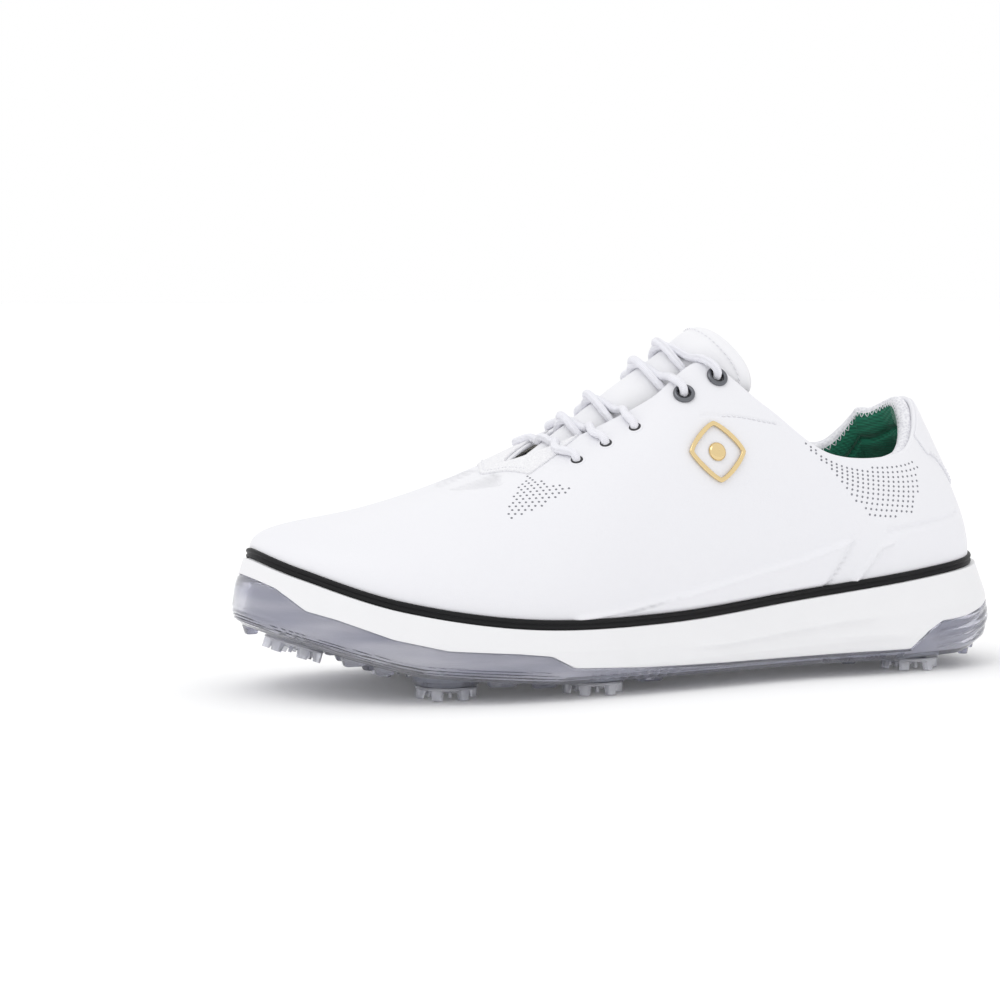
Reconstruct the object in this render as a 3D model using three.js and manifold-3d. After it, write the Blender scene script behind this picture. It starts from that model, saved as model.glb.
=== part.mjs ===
// A left golf shoe: leather upper on a moulded sole, with twist-in cleats.
// Millimetres, +Z up. The toe points along -X, and +Y is the inner side of the foot.
import * as THREE from "three";
import { LoftGeometry } from "three/addons/geometries/LoftGeometry.js";
import { mergeVertices } from "three/addons/utils/BufferGeometryUtils.js";
import Module from "manifold-3d";

const wasm = await Module();
wasm.setup();

// Overall size of the lasted upper.
const lastLength = 298.5; // feather edge, toe tip to heel back
const lastBreadth = 104; // feather edge, at the ball of the foot
const lastHeight = 118; // cleat seats to the top of the eyestay

const gap = 0.3; // left between pieces that touch

// Upper and what is inside it.
const upperThickness = 2;
const facingThickness = 1; // eyelet reinforcement
const puffThickness = 1;
const counterThickness = 1.5;
const vampLiningThickness = 0.8;
const quarterLiningThickness = 1;
const foamThickness = 5.7;
const collarLiningThickness = 1;
const overlayThickness = 1;
const boardThickness = 2;
const socklinerThickness = 4.5;
const socklinerClearance = 2.4; // between the linings and the sockliner
const liningLean = 1.5; // level run of a lining for its depth, where the toe leans in most
const boardClearance = 0.4; // between the insole board and the stripe around it

// Tongue.
const tongueShellThickness = 1.6;
const tonguePaddingThickness = 4;
const tongueLiningThickness = 0.8;

// Lace and eyelets.
const laceDiameter = 3.7;
const laceClearance = 0.55; // lace to the edge of its hole
const aglet = { length: 20, radius: 1.9 };
const eyelet = { flangeWidth: 1.75, flangeThickness: 1, wall: 0.5, seat: 0.3 };
const washer = { width: 1, thickness: 0.5, seat: 1 };

// Sole.
const stripe = { height: 3, under: 4, proud: 1.2, round: 0.3 };
const floorThickness = 2.4;
const randThickness = 3;
const recess = 0.5; // midsole wall behind the rand
const shankThickness = 1.2;
const shank = { from: -8, to: 88, halfWidth: 17 };

// Cleats and the sockets they twist into.
const cleat = {
  discRadius: 11.6, discThickness: 1.9, rimBevel: 0.7, faceInset: 2.4, studRadius: 4.4, studHeight: 3.9,
};
const leg = { count: 6, circle: 9, height: 3.4, tip: 1.25, root: 2.1, lean: 0.2, buried: 0.5 };
const socket = {
  wall: 2.4, boreClearance: 0.3, flangeWidth: 3, flangeThickness: 1.4, seat: 1.9, crown: 1.8,
};
const bossWidth = 1.2; // rubber left around each cleat disc
const standHeight = cleat.discThickness + leg.height; // sole seats above the ground

const laceRadius = laceDiameter / 2;
const punchedRadius = laceRadius + laceClearance;

// Form of the last. Each row has sixteen points round the shoe: 0 at the toe, 4 at the waist on the
// outer side, 8 at the heel back, 12 at the waist on the inner side. Heights are above the cleat seats.
const formStand = 5.3;
const featherForm = [
  [-150, 4, 54], [-139.5, -22.5, 48.5], [-107.5, -45.5, 37.3], [-59.4, -54.5, 29.8],
  [-2, -47, 29.2], [55, -37.5, 34], [104, -35.8, 39.3], [136, -27, 43.3],
  [148.5, 1, 44.5], [136, 28, 43.3], [104, 35.8, 39.3], [55, 31, 34],
  [-2, 34.5, 30], [-59.4, 49.5, 30.5], [-107.5, 45, 37.5], [-139.5, 28, 49],
];
const wallForm = [
  [-150, 4, 70], [-143, -25, 64], [-111, -51, 56], [-60, -61, 54],
  [-2, -54, 58], [55, -43.5, 58], [104, -41, 60], [135, -31, 62],
  [147, 1, 66], [135, 31, 62], [104, 41, 60], [55, 37, 58],
  [-2, 41, 60], [-60, 55, 55], [-111, 51, 56], [-143, 30, 64],
];
const shoulderForm = [
  [-98, 2, 60], [-93, -17, 62], [-70, -31, 70], [-32, -40, 82],
  [12, -40, 98], [50, -40, 88], [84, -40, 76], [117, -32, 76],
  [134, 0, 88], [117, 32, 76], [84, 40, 76], [50, 38, 88],
  [12, 37, 98], [-32, 36, 84], [-70, 30, 71], [-93, 20, 62],
];
const toplineForm = [
  [-49, 0, 85], [-38, -11, 90], [-20, -15.5, 98], [2, -18, 109],
  [24, -19, 123], [46, -29, 106], [72, -35, 87], [108, -28, 87.5],
  [125, 0, 107], [109, 27, 95], [73, 34.5, 88], [46, 29, 106],
  [24, 19, 123], [2, 18, 109], [-20, 15.5, 98], [-38, 11, 90],
];
const columns = featherForm.length;

// Tongue ridge: x, z, half width and how far the sides drop.
const tongueForm = [
  [-62, 74.5, 14, 11], [-47, 83, 15, 19], [-30, 95, 15.4, 26], [-6.7, 111.8, 16, 27],
  [26, 133.5, 16.6, 28], [32, 137.5, 19, 28],
];

// Heights of the sole along x: its bottom, and the top of the clear rand on each side.
const bottomForm = [
  [-157, 27], [-147, 23.4], [-136, 20], [-126, 16.6], [-110, 12], [-102, 10.2], [-85, 8.6],
  [-50, 5.9], [0, 5.6], [55, 5.5], [100, 5.6], [130, 6.2], [147, 9.5], [157, 15],
];
const outerRandForm = [
  [-157, 45.6], [-149, 41.4], [-140, 33.7], [-131, 31], [-113, 24.2], [-94, 19.9], [-68, 18.1],
  [-55, 16.6], [-46, 11.9], [-17, 10.2], [21, 9.2], [55, 9], [83, 9.2], [105, 9.5],
  [113, 16.2], [120, 19.8], [132, 21], [142, 23.6], [157, 28.5],
];
const innerRandForm = [
  [-157, 45.6], [-150, 42], [-140, 33], [-128, 24], [-115, 18.5], [-100, 14.5], [-90, 12],
  [-17, 10.2], [21, 9.2], [55, 9], [83, 9.2], [105, 9.5], [113, 16.2], [120, 19.8], [132, 21],
  [142, 23.6], [157, 28.5],
];
// How far the sole stands out beyond the feather edge, from its bottom (0) to the stripe (1).
const bulge = [[0, 2], [0.1, 4.4], [0.3, 5.3], [0.6, 4.4], [0.85, 2.8], [1, 1.8]];
// How many times further it stands out at the toe and the heel, and over how many columns that fades.
const flare = { toe: 1.3, heel: 1.85, reach: 1.1 };

// Lace holes on the outer side, from the vamp up: column and height on the upper, where the lace
// goes over the throat edge into the hole, and where it comes out from under it. Metal on the top two.
const laceHoles = [
  { u: 2.576, v: 0.783, over: 1.3, under: 1.78, metal: false },
  { u: 2.818, v: 0.826, over: 1.98, under: 2.36, metal: false },
  { u: 3.148, v: 0.845, over: 2.58, under: 3.25, metal: false },
  { u: 3.782, v: 0.863, over: 3.42, under: 3.68, metal: true },
  { u: 4.233, v: 0.941, over: 3.98, under: null, metal: true },
];

// Where the lace's ends lie inside the shoe: x, y inwards from the outer wall, z above the last's base.
const tailForm = [
  [30.5, -21.5, 104], [33, -23.5, 90], [33, -25, 72], [29, -25.5, 53], [19, -25.5, 41.5], [7, -25.5, 37.4],
  [-6, -26.5, 36.2], [-20, -28.5, 36], [-34, -31, 36],
];

// Cleat centres.
const cleatForm = [
  [-136, -3], [-87, -33], [-82, 32], [-31, -40], [-25, 26.5], [113, -24.5], [113, 24.5],
];

// Small lugs of the outsole: x, y and radius.
const lugForm = [
  [-148, 14, 3], [-112, -20, 3.6], [-114, 5, 4.2], [-112, 26, 3.6], [-66, -6, 4.4], [-62, 22, 3.8],
  [-60, -30, 3.8], [-92, 0, 4.4], [-38, -8, 4.2], [-10, -33, 3.6], [4, 0, 4], [4, -24, 3.6],
  [86, 0, 4.2], [86, -24, 3.6], [86, 22, 3.6], [138, -14, 3.4], [138, 12, 3.4], [143, 0, 3.2],
];
const lug = { height: 3.2, taper: 0.72, sides: 6 };

const colors = {
  leather: [0xf2f2f3, 0.55, 0], mesh: [0xe2e3e6, 0.8, 0], green: [0x0d5a3c, 0.85, 0],
  foam: [0xe9e4d8, 0.9, 0], board: [0xd9d6cf, 0.9, 0], stiffener: [0xcfc9bd, 0.8, 0],
  black: [0x17171a, 0.5, 0], eva: [0xf3f3f4, 0.6, 0], clear: [0xaab0bd, 0.25, 0],
  plate: [0x2a2c30, 0.5, 0], gunmetal: [0x44464b, 0.35, 0.9], gold: [0xc8a24a, 0.3, 1],
  lace: [0xf6f6f8, 0.85, 0], cleatClear: [0xc9ccd6, 0.3, 0], nylon: [0x8d929c, 0.5, 0],
};

const roundSides = 12; // facets of the small round pieces
const bossSides = 16;

const shoe = new THREE.Group();

// ---- Solids ----

function solid(geometry) {
  const bare = new THREE.BufferGeometry();
  bare.setAttribute("position", geometry.getAttribute("position"));
  bare.setIndex(geometry.index);
  const merged = mergeVertices(bare, 1e-4);
  const index = merged.index.array;
  const triangles = [];
  for (let i = 0; i < index.length; i += 3) {
    const [a, b, c] = [index[i], index[i + 1], index[i + 2]];
    if (a !== b && b !== c && c !== a) triangles.push(a, b, c);
  }
  const build = (order) =>
    new wasm.Manifold(
      new wasm.Mesh({
        numProp: 3,
        vertProperties: new Float32Array(merged.attributes.position.array),
        triVerts: new Uint32Array(order),
      }),
    );
  const made = build(triangles);
  return made.volume() > 0 ? made : build(triangles.reverse());
}

function geometryOf(made) {
  const mesh = made.getMesh();
  const geometry = new THREE.BufferGeometry();
  geometry.setAttribute("position", new THREE.BufferAttribute(mesh.vertProperties, 3));
  geometry.setIndex(new THREE.BufferAttribute(mesh.triVerts, 1));
  geometry.computeVertexNormals();
  return geometry;
}

function add(name, color, made, parent = shoe) {
  const [hex, roughness, metalness] = colors[color];
  const material = new THREE.MeshStandardMaterial({ color: hex, roughness, metalness });
  const mesh = new THREE.Mesh(geometryOf(made), material);
  mesh.name = name;
  parent.add(mesh);
  return mesh;
}

function turned(profile, sides = roundSides) {
  const geometry = new THREE.LatheGeometry(profile.map(([r, z]) => new THREE.Vector2(r, z)), sides);
  return geometry.rotateX(Math.PI / 2);
}

// A solid of revolution about `axis` through `point`, its profile given as radius and height.
function turnedOn(point, axis, profile, sides) {
  const turn = new THREE.Quaternion().setFromUnitVectors(new THREE.Vector3(0, 0, 1), axis);
  return solid(turned(profile, sides).applyQuaternion(turn).translate(point.x, point.y, point.z));
}

// A skin through a row of closed sections. Each end is closed by a strip between its two halves.
function loft(sections, closed = false) {
  const geometry = new LoftGeometry(closed ? [...sections, sections[0]] : sections);
  if (closed) return solid(geometry);
  const count = sections[0].length;
  const last = (sections.length - 1) * (count + 1);
  const index = Array.from(geometry.index.array);
  for (let i = 0; i < count / 2 - 1; i += 1) {
    const [a, b, c, d] = [i, i + 1, count - 2 - i, count - 1 - i];
    index.push(b, a, d, b, d, c);
    index.push(last + a, last + b, last + c, last + a, last + c, last + d);
  }
  geometry.setIndex(index);
  return solid(geometry);
}

function rod(radius, low, high) {
  return [[0, low], [radius, low], [radius, high], [0, high]];
}

function spaced(from, to, count) {
  return Array.from({ length: count + 1 }, (_, i) => from + ((to - from) * i) / count);
}

// ---- The last ----

function span(form, axis) {
  const values = form.map((point) => point[axis]);
  return Math.max(...values) - Math.min(...values);
}

const fit = {
  x: lastLength / span(featherForm, 0),
  y: lastBreadth / span(featherForm, 1),
  z: lastHeight / (Math.max(...toplineForm.map((point) => point[2])) - formStand + 0.3),
};

function height(z) {
  return standHeight + (z - formStand) * fit.z;
}

function onLast([x, y, z]) {
  return new THREE.Vector3(x * fit.x, y * fit.y, height(z));
}

const [feather, wall, shoulder, topline] = [featherForm, wallForm, shoulderForm, toplineForm].map(
  (form) => form.map(onLast),
);

// A point at column u of a row: a closed Catmull-Rom curve.
function around(row, u) {
  const first = Math.floor(u);
  const f = u - first;
  const [a, b, c, d] = [-1, 0, 1, 2].map((k) => row[(((first + k) % columns) + columns) % columns]);
  const blend = (p, q, r, s) =>
    0.5 * (2 * q + (r - p) * f + (2 * p - 5 * q + 4 * r - s) * f * f + (3 * q - p - 3 * r + s) * f ** 3);
  return new THREE.Vector3(blend(a.x, b.x, c.x, d.x), blend(a.y, b.y, c.y, d.y), blend(a.z, b.z, c.z, d.z));
}

// The outside of the upper, from the feather edge (v = 0) to the topline (v = 1).
function upperPoint(u, v) {
  const w = 1 - v;
  return around(feather, u).multiplyScalar(w ** 3)
    .addScaledVector(around(wall, u), 3 * v * w * w)
    .addScaledVector(around(shoulder, u), 3 * v * v * w)
    .addScaledVector(around(topline, u), v ** 3);
}

function upperNormal(u, v) {
  const e = 0.01;
  const low = Math.max(v - e, 0);
  const high = Math.min(v + e, 1);
  const across = upperPoint(u + e, v).sub(upperPoint(u - e, v));
  const up = upperPoint(u, high).sub(upperPoint(u, low));
  return across.cross(up).normalize();
}

function under(u, v, depth) {
  return upperPoint(u, v).addScaledVector(upperNormal(u, v), -depth);
}

// The ends of a span and the lines of the last's grid between them, so that layers stay parallel.
function gridLines(from, to, perUnit) {
  const lines = [from];
  for (let k = Math.ceil(from * perUnit); k <= to * perUnit; k += 1) {
    const line = k / perUnit;
    if (line - lines.at(-1) > 0.3 / perUnit) lines.push(line);
  }
  if (to - lines.at(-1) < 0.3 / perUnit && lines.length > 1) lines.pop();
  return [...lines, to];
}

// A layer of the upper between two depths; columns wrap past the toe when `from` is negative.
// `touching` runs the columns backwards, so that its facets match those of the upper next to it.
function layer({ from, to, low, high, outer, inner, touching = false }) {
  const heights = gridLines(low, high, gridRows);
  const sections = gridLines(from, to, gridColumns).map((u) => [
    ...heights.map((v) => under(u, v, outer)),
    ...[...heights].reverse().map((v) => under(u, v, inner)),
  ]);
  if (touching) sections.reverse();
  const whole = to - from === columns;
  return whole ? loft(sections.slice(0, -1), true) : loft(sections);
}

function bore(point, axis, radius, low, high) {
  return turnedOn(point, axis, rod(radius, low, high));
}

const gridColumns = 3; // grid lines for each column of the form
const gridRows = 9; // and from the feather edge to the topline
const mirrorColumn = (u) => columns - u;
const bothSides = [["lateral", (u) => u], ["medial", mirrorColumn]];

// ---- Upper ----

const facingDepth = upperThickness + gap;
const facingEnd = facingDepth + facingThickness;
const vampLiningDepth = facingDepth + puffThickness + gap;
const quarterLiningDepth = facingDepth + counterThickness + gap;
const collarLiningDepth = facingDepth + foamThickness + gap;
const liningEnd = quarterLiningDepth + quarterLiningThickness;
const socklinerInset = liningEnd * liningLean + socklinerClearance;
const barrelRadius = punchedRadius + eyelet.wall;

function holeRadius(hole) {
  return hole.metal ? barrelRadius + gap : punchedRadius;
}

function punch(made, side) {
  return laceHoles.reduce((left, hole) => {
    const u = side(hole.u);
    const cutter = bore(upperPoint(u, hole.v), upperNormal(u, hole.v), holeRadius(hole), -8, 3);
    return left.subtract(cutter);
  }, made);
}

function addUpper() {
  const whole = layer({ from: 0, to: columns, low: 0, high: 1, outer: 0, inner: upperThickness });
  add("upper", "leather", bothSides.reduce((made, [, side]) => punch(made, side), whole));
}

// Spans of the pieces round the last, in columns and in height from the feather edge to the topline.
const facingSpan = { from: 2, to: 14 / 3, low: 2 / 3, high: 0.97 };
const puffSpan = { from: -7 / 3, to: 7 / 3, low: 1 / 9, high: 4 / 9 };
const counterSpan = { from: 19 / 3, to: 29 / 3, low: 1 / 9, high: 5 / 9 };
const vampLiningSpan = { from: -11 / 3, to: 11 / 3, low: 0.05, high: 2 / 3 };
const quarterLiningSpan = { from: 3.9, to: 12.1, low: 0.05, high: 0.64 };
const collarSpan = { from: 5.45, to: 10.55, low: 0.7, high: 0.965 };
const collarLiningLow = 0.66;
const heelOverlaySpan = { from: 7.35, to: 8.65, low: 0.42, high: 0.96 };
const throatTabSpan = { from: -1.05, to: 1.05, low: 0.93, high: 0.995 };

function addFacings() {
  for (const [name, side] of bothSides) {
    const [from, to] = [side(facingSpan.from), side(facingSpan.to)].sort((a, b) => a - b);
    const facing = layer({
      ...facingSpan, from, to, outer: facingDepth, inner: facingEnd, touching: true,
    });
    add(`eyestay_facing_${name}`, "stiffener", punch(facing, side));
  }
}

function addLinings() {
  add("toe_puff", "stiffener", layer({
    ...puffSpan, outer: facingDepth, inner: facingDepth + puffThickness, touching: true,
  }));
  add("heel_counter", "stiffener", layer({
    ...counterSpan, outer: facingDepth, inner: facingDepth + counterThickness, touching: true,
  }));
  add("vamp_lining", "mesh", layer({
    ...vampLiningSpan, outer: vampLiningDepth, inner: vampLiningDepth + vampLiningThickness,
  }));
  add("quarter_lining", "green", layer({
    ...quarterLiningSpan,
    outer: quarterLiningDepth, inner: quarterLiningDepth + quarterLiningThickness,
  }));
}

function addCollar() {
  add("collar_foam", "foam", layer({
    ...collarSpan, outer: facingDepth, inner: facingDepth + foamThickness, touching: true,
  }));
  add("collar_lining", "mesh", layer({
    ...collarSpan, low: collarLiningLow,
    outer: collarLiningDepth, inner: collarLiningDepth + collarLiningThickness,
  }));
}

function addTrim() {
  add("heel_overlay", "leather", layer({
    ...heelOverlaySpan, outer: -gap - overlayThickness, inner: -gap, touching: true,
  }));
  add("throat_tab", "mesh", layer({
    ...throatTabSpan, outer: -gap - overlayThickness, inner: -gap, touching: true,
  }));
}

// A plain gold ornament on the outer quarter: a rounded lozenge ring with a stud in its middle.
const badge = { u: 4.251, v: 0.622, reach: 11.5, rim: 1.7, thickness: 1.2, stud: 3.4 };

function addBadge() {
  const centre = upperPoint(badge.u, badge.v);
  const normal = upperNormal(badge.u, badge.v);
  const along = new THREE.Vector3(1, 0, 0).addScaledVector(normal, -normal.x).normalize();
  const up = new THREE.Vector3().crossVectors(along, normal).normalize();
  // Slides a point of the flat pattern onto the curved leather.
  const place = (a, b, lift) => {
    const flat = centre.clone().addScaledVector(along, a).addScaledVector(up, b);
    let [u, v] = [badge.u, badge.v];
    for (let pass = 0; pass < 12; pass += 1) {
      const miss = flat.clone().sub(upperPoint(u, v));
      const du = upperPoint(u + 0.01, v).sub(upperPoint(u - 0.01, v)).multiplyScalar(50);
      const dv = upperPoint(u, v + 0.01).sub(upperPoint(u, v - 0.01)).multiplyScalar(50);
      u += miss.dot(du) / du.lengthSq() / 2;
      v += miss.dot(dv) / dv.lengthSq() / 2;
    }
    return under(u, v, -lift);
  };
  const sections = spaced(0, 2 * Math.PI, 32).map((angle) => {
    const pull = Math.abs(Math.cos(angle)) ** 1.3 + Math.abs(Math.sin(angle)) ** 1.3;
    const radius = badge.reach / pull ** (1 / 1.3);
    const at = (r, lift) => place(r * Math.cos(angle), r * Math.sin(angle), lift);
    const top = gap + badge.thickness;
    return [
      at(radius, gap), at(radius - badge.rim, gap),
      at(radius - 0.7 * badge.rim, top), at(radius - 0.3 * badge.rim, top),
    ];
  });
  add("ornament_ring", "gold", loft(sections.slice(0, -1), true));
  const dome = [
    [0, gap + 0.1], [badge.stud, gap + 0.1], [badge.stud, gap + 0.7], [badge.stud * 0.7, gap + 1.4],
    [0, gap + 1.7],
  ];
  add("ornament_stud", "gold", turnedOn(centre, normal, dome));
}

// ---- Eyelets ----

const flangeRadius = barrelRadius + eyelet.flangeWidth;
const barrelEnd = facingEnd + washer.seat + washer.thickness + gap;

function addEyelets() {
  const flange = [
    [punchedRadius, -barrelEnd], [barrelRadius, -barrelEnd], [barrelRadius, eyelet.seat],
    [flangeRadius, eyelet.seat], [flangeRadius - 0.3, eyelet.seat + 0.6 * eyelet.flangeThickness],
    [barrelRadius + 0.3, eyelet.seat + eyelet.flangeThickness],
    [punchedRadius, eyelet.seat + 0.7 * eyelet.flangeThickness], [punchedRadius, -barrelEnd],
  ];
  const inner = barrelRadius + gap;
  const [near, far] = [-facingEnd - washer.seat, -facingEnd - washer.seat - washer.thickness];
  const ring = [
    [inner, far], [inner + washer.width, far], [inner + washer.width, near], [inner, near], [inner, far],
  ];
  for (const [name, side] of bothSides) {
    laceHoles.filter((hole) => hole.metal).forEach((hole, i) => {
      const u = side(hole.u);
      const [point, normal] = [upperPoint(u, hole.v), upperNormal(u, hole.v)];
      add(`eyelet_${name}_${i + 1}`, "gunmetal", turnedOn(point, normal, flange));
      add(`eyelet_washer_${name}_${i + 1}`, "gunmetal", turnedOn(point, normal, ring));
    });
  }
}

// ---- Tongue ----

const tongueRidge = tongueForm.map(([x, z]) => onLast([x, 0, z]));
const ridgeLengths = tongueRidge.map((point, i) =>
  tongueRidge.slice(1, i + 1).reduce((sum, next, k) => sum + next.distanceTo(tongueRidge[k]), 0),
);
const ridgeLength = ridgeLengths[ridgeLengths.length - 1];
const ridgeRun = tongueRidge[tongueRidge.length - 1].clone().sub(tongueRidge[1]).normalize();
const ridgeUp = new THREE.Vector3(-ridgeRun.z, 0, ridgeRun.x);

function ramp(table, x) {
  const last = table.length - 1;
  if (x <= table[0][0]) return table[0][1];
  if (x >= table[last][0]) return table[last][1];
  const i = table.findIndex(([edge]) => edge > x);
  const [[x0, y0], [x1, y1]] = [table[i - 1], table[i]];
  return y0 + ((y1 - y0) * (x - x0)) / (x1 - x0);
}

function tongueSize(s) {
  const t = s * ridgeLength;
  const read = (values) => ramp(values.map((value, i) => [ridgeLengths[i], value]), t);
  const at = new THREE.Vector3(read(tongueRidge.map((p) => p.x)), 0, read(tongueRidge.map((p) => p.z)));
  const half = read(tongueForm.map((row) => row[2] * fit.y));
  const drop = read(tongueForm.map((row) => row[3] * fit.y));
  return { at, half, drop };
}

// A point of the tongue at s along it and angle a across it, at a depth under its outside.
function tonguePoint(s, a, depth) {
  const { at, half, drop } = tongueSize(s);
  const point = at.clone().addScaledVector(ridgeUp, -drop * (1 - Math.cos(a)));
  point.y = half * Math.sin(a);
  const normal = ridgeUp.clone().multiplyScalar(half * Math.cos(a));
  normal.y = drop * Math.sin(a);
  return point.addScaledVector(normal.normalize(), -depth);
}

function tongueLayer(from, to, reach, outer, inner, backwards = false) {
  const angles = spaced(-reach, reach, 10);
  const middles = ridgeLengths.slice(1).map((length, i) => (length + ridgeLengths[i]) / 2);
  const between = [...ridgeLengths, ...middles].map((length) => length / ridgeLength)
    .filter((s) => s > from + 0.02 && s < to - 0.02);
  const stations = [from, ...between, to].sort((a, b) => a - b);
  const sections = stations.map((s) => [
    ...angles.map((a) => tonguePoint(s, a, outer)),
    ...[...angles].reverse().map((a) => tonguePoint(s, a, inner)),
  ]);
  if (backwards) sections.reverse();
  return loft(sections);
}

function addTongue() {
  const padding = tongueShellThickness + gap;
  const lining = padding + tonguePaddingThickness + gap;
  add("tongue_shell", "leather", tongueLayer(0, 1, 1.4, 0, tongueShellThickness));
  add("tongue_padding", "foam", tongueLayer(
    0.2, 0.97, 1.25, padding, padding + tonguePaddingThickness, true,
  ));
  add("tongue_lining", "mesh", tongueLayer(0.12, 1, 1.3, lining, lining + tongueLiningThickness));
}

// ---- Lace ----

const bend = laceRadius + 0.6; // how tightly the lace turns into a hole
const underFacing = facingEnd + gap + laceRadius + 0.15;
const overLeather = laceRadius + gap + 0.2;

function tongueCoordinates(point) {
  const run = point.clone().sub(tongueRidge[1]);
  return { s: (ridgeLengths[1] + run.dot(ridgeRun)) / ridgeLength, y: point.y };
}

function holeFrame(hole, side, edge) {
  const u = side(hole.u);
  const at = upperPoint(u, hole.v);
  const normal = upperNormal(u, hole.v);
  const toward = upperPoint(side(edge), 1).sub(at);
  toward.addScaledVector(normal, -toward.dot(normal)).normalize();
  return { at, normal, toward };
}

// A quarter turn between the hole's axis and the leather: `rise` is the height where it starts.
function corner({ at, normal, toward }, rise, sign) {
  return [0, 0.5, 1].map((part) => {
    const angle = (part * Math.PI) / 2;
    return at.clone()
      .addScaledVector(toward, bend * (1 - Math.cos(angle)))
      .addScaledVector(normal, sign * (rise + bend * Math.sin(angle)));
  });
}

// From the throat edge, over the leather and down through the hole.
function goIn(hole, side) {
  const top = hole.metal ? eyelet.seat + eyelet.flangeThickness : 0;
  const frame = holeFrame(hole, side, hole.over);
  const edge = upperPoint(side(hole.over), 0.995);
  const normal = upperNormal(side(hole.over), 0.995);
  const toward = edge.clone().sub(frame.at);
  toward.addScaledVector(normal, -toward.dot(normal)).normalize();
  const roundEdge = [1.4, 0.7, 0].map((angle) =>
    edge.clone()
      .addScaledVector(toward, overLeather * Math.sin(angle))
      .addScaledVector(normal, overLeather * Math.cos(angle)),
  );
  return [
    ...roundEdge,
    under(side((hole.over + hole.u) / 2), (1 + hole.v) / 2, -overLeather - top),
    ...corner(frame, top, 1).reverse(),
  ];
}

// From the hole, under the facing and out at the throat edge.
function comeOut(hole, side) {
  const low = hole.metal ? barrelEnd : facingEnd;
  return [
    ...corner(holeFrame(hole, side, hole.under), low, -1),
    under(side((hole.under + hole.u) / 2), (1 + hole.v) / 2, underFacing),
    under(side(hole.under), 0.995, underFacing),
  ];
}

// Over the tongue from one throat edge to the other; the strand on top humps over the lower one.
function crossTongue(start, end, onTop) {
  const from = tongueCoordinates(start);
  const to = tongueCoordinates(end);
  return [0.18, 0.28, 0.39, 0.5, 0.61, 0.72, 0.82].map((q) => {
    const y = from.y + (to.y - from.y) * q;
    const s = from.s + (to.s - from.s) * q;
    const hump = Math.cos(Math.min(Math.abs(q - 0.5) / 0.36, 1) * (Math.PI / 2)) ** 2;
    const lift = laceRadius + 2 * gap + (onTop ? (laceDiameter + gap) * hump : 0);
    const a = Math.asin(THREE.MathUtils.clamp(y / tongueSize(s).half, -0.95, 0.95));
    return tonguePoint(s, a, -lift);
  });
}

function tail(side) {
  const hole = laceHoles[laceHoles.length - 1];
  const frame = holeFrame(hole, side, hole.over);
  frame.toward.negate();
  const sign = side(0) === 0 ? 1 : -1;
  return [
    ...corner(frame, barrelEnd, -1),
    ...tailForm.map(([x, y, z]) => {
      const point = onLast([x, y, z]);
      point.y *= sign;
      return point;
    }),
  ];
}

// One half of the lace, from the middle of the bottom bar to its end inside the shoe.
function strand(startsLateral) {
  const sides = startsLateral ? [0, 1, 0, 1, 0] : [1, 0, 1, 0, 1];
  const points = [];
  laceHoles.forEach((hole, k) => {
    const side = bothSides[sides[k]][1];
    const entry = goIn(hole, side);
    if (k > 0) {
      const onTop = startsLateral === (k % 2 === 1);
      points.push(...crossTongue(points[points.length - 1], entry[0], onTop));
    }
    points.push(...entry);
    if (hole.under !== null) points.push(...comeOut(hole, side));
    else points.push(...tail(side));
  });
  return points;
}

function laceRoute() {
  const [first, second] = [strand(false).reverse(), strand(true)];
  return [...first, ...crossTongue(first.at(-1), second[0], false), ...second];
}

// A round tube through a list of points, with its ring turned as little as possible from step to step.
function tube(points, radius, sides) {
  const along = points.map((point, i) => {
    const before = points[Math.max(i - 1, 0)];
    const after = points[Math.min(i + 1, points.length - 1)];
    return after.clone().sub(before).normalize();
  });
  let across = new THREE.Vector3(0, 0, 1).cross(along[0]).normalize();
  const sections = points.map((point, i) => {
    if (i > 0) {
      const turn = new THREE.Quaternion().setFromUnitVectors(along[i - 1], along[i]);
      across = across.clone().applyQuaternion(turn);
    }
    const other = new THREE.Vector3().crossVectors(along[i], across);
    return spaced(0, 2 * Math.PI, sides).slice(0, -1).map((angle) =>
      point.clone()
        .addScaledVector(across, radius * Math.cos(angle))
        .addScaledVector(other, radius * Math.sin(angle)),
    );
  });
  return loft(sections);
}

function addLace() {
  const route = laceRoute();
  add("lace", "lace", tube(route, laceRadius, 8));
  const ends = [["medial", route[0], route[1]], ["lateral", route.at(-1), route.at(-2)]];
  for (const [name, tip, before] of ends) {
    const outward = tip.clone().sub(before).normalize();
    add(`aglet_${name}`, "nylon", turnedOn(tip, outward, rod(aglet.radius, gap, gap + aglet.length), 8));
  }
}

// ---- Sole ----

const soleSteps = [
  0, 0.25, 0.5, 0.75, 1, 1.33, 1.67, 2, 2.33, 2.67, 3, 3.09, 3.25, 3.5, 3.75, 4, 4.5, 5, 5.5, 6,
  6.1, 6.22, 6.4, 6.7, 7, 7.25, 7.5, 7.75, 8,
];

function outward(u) {
  const e = 0.02;
  const run = around(feather, u + e).sub(around(feather, u - e));
  return new THREE.Vector3(run.y, -run.x, 0).normalize();
}

// A point of the sole wall at column u, `out` beyond the feather edge.
function solePoint(u, out, z) {
  const point = around(feather, u).addScaledVector(outward(u), out);
  point.z = z;
  return point;
}

function soleBottom(u, out) {
  const x = around(feather, u).addScaledVector(outward(u), out).x / fit.x;
  return height(ramp(bottomForm, x));
}

function randTop(u) {
  const x = around(feather, u).addScaledVector(outward(u), 5).x / fit.x;
  return height(ramp(u < columns / 2 ? outerRandForm : innerRandForm, x));
}

const stripeTop = (u) => around(feather, u).z - gap;
const stripeBottom = (u) => stripeTop(u) - stripe.height;
const midsoleTop = (u) => stripeBottom(u) - gap;

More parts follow.
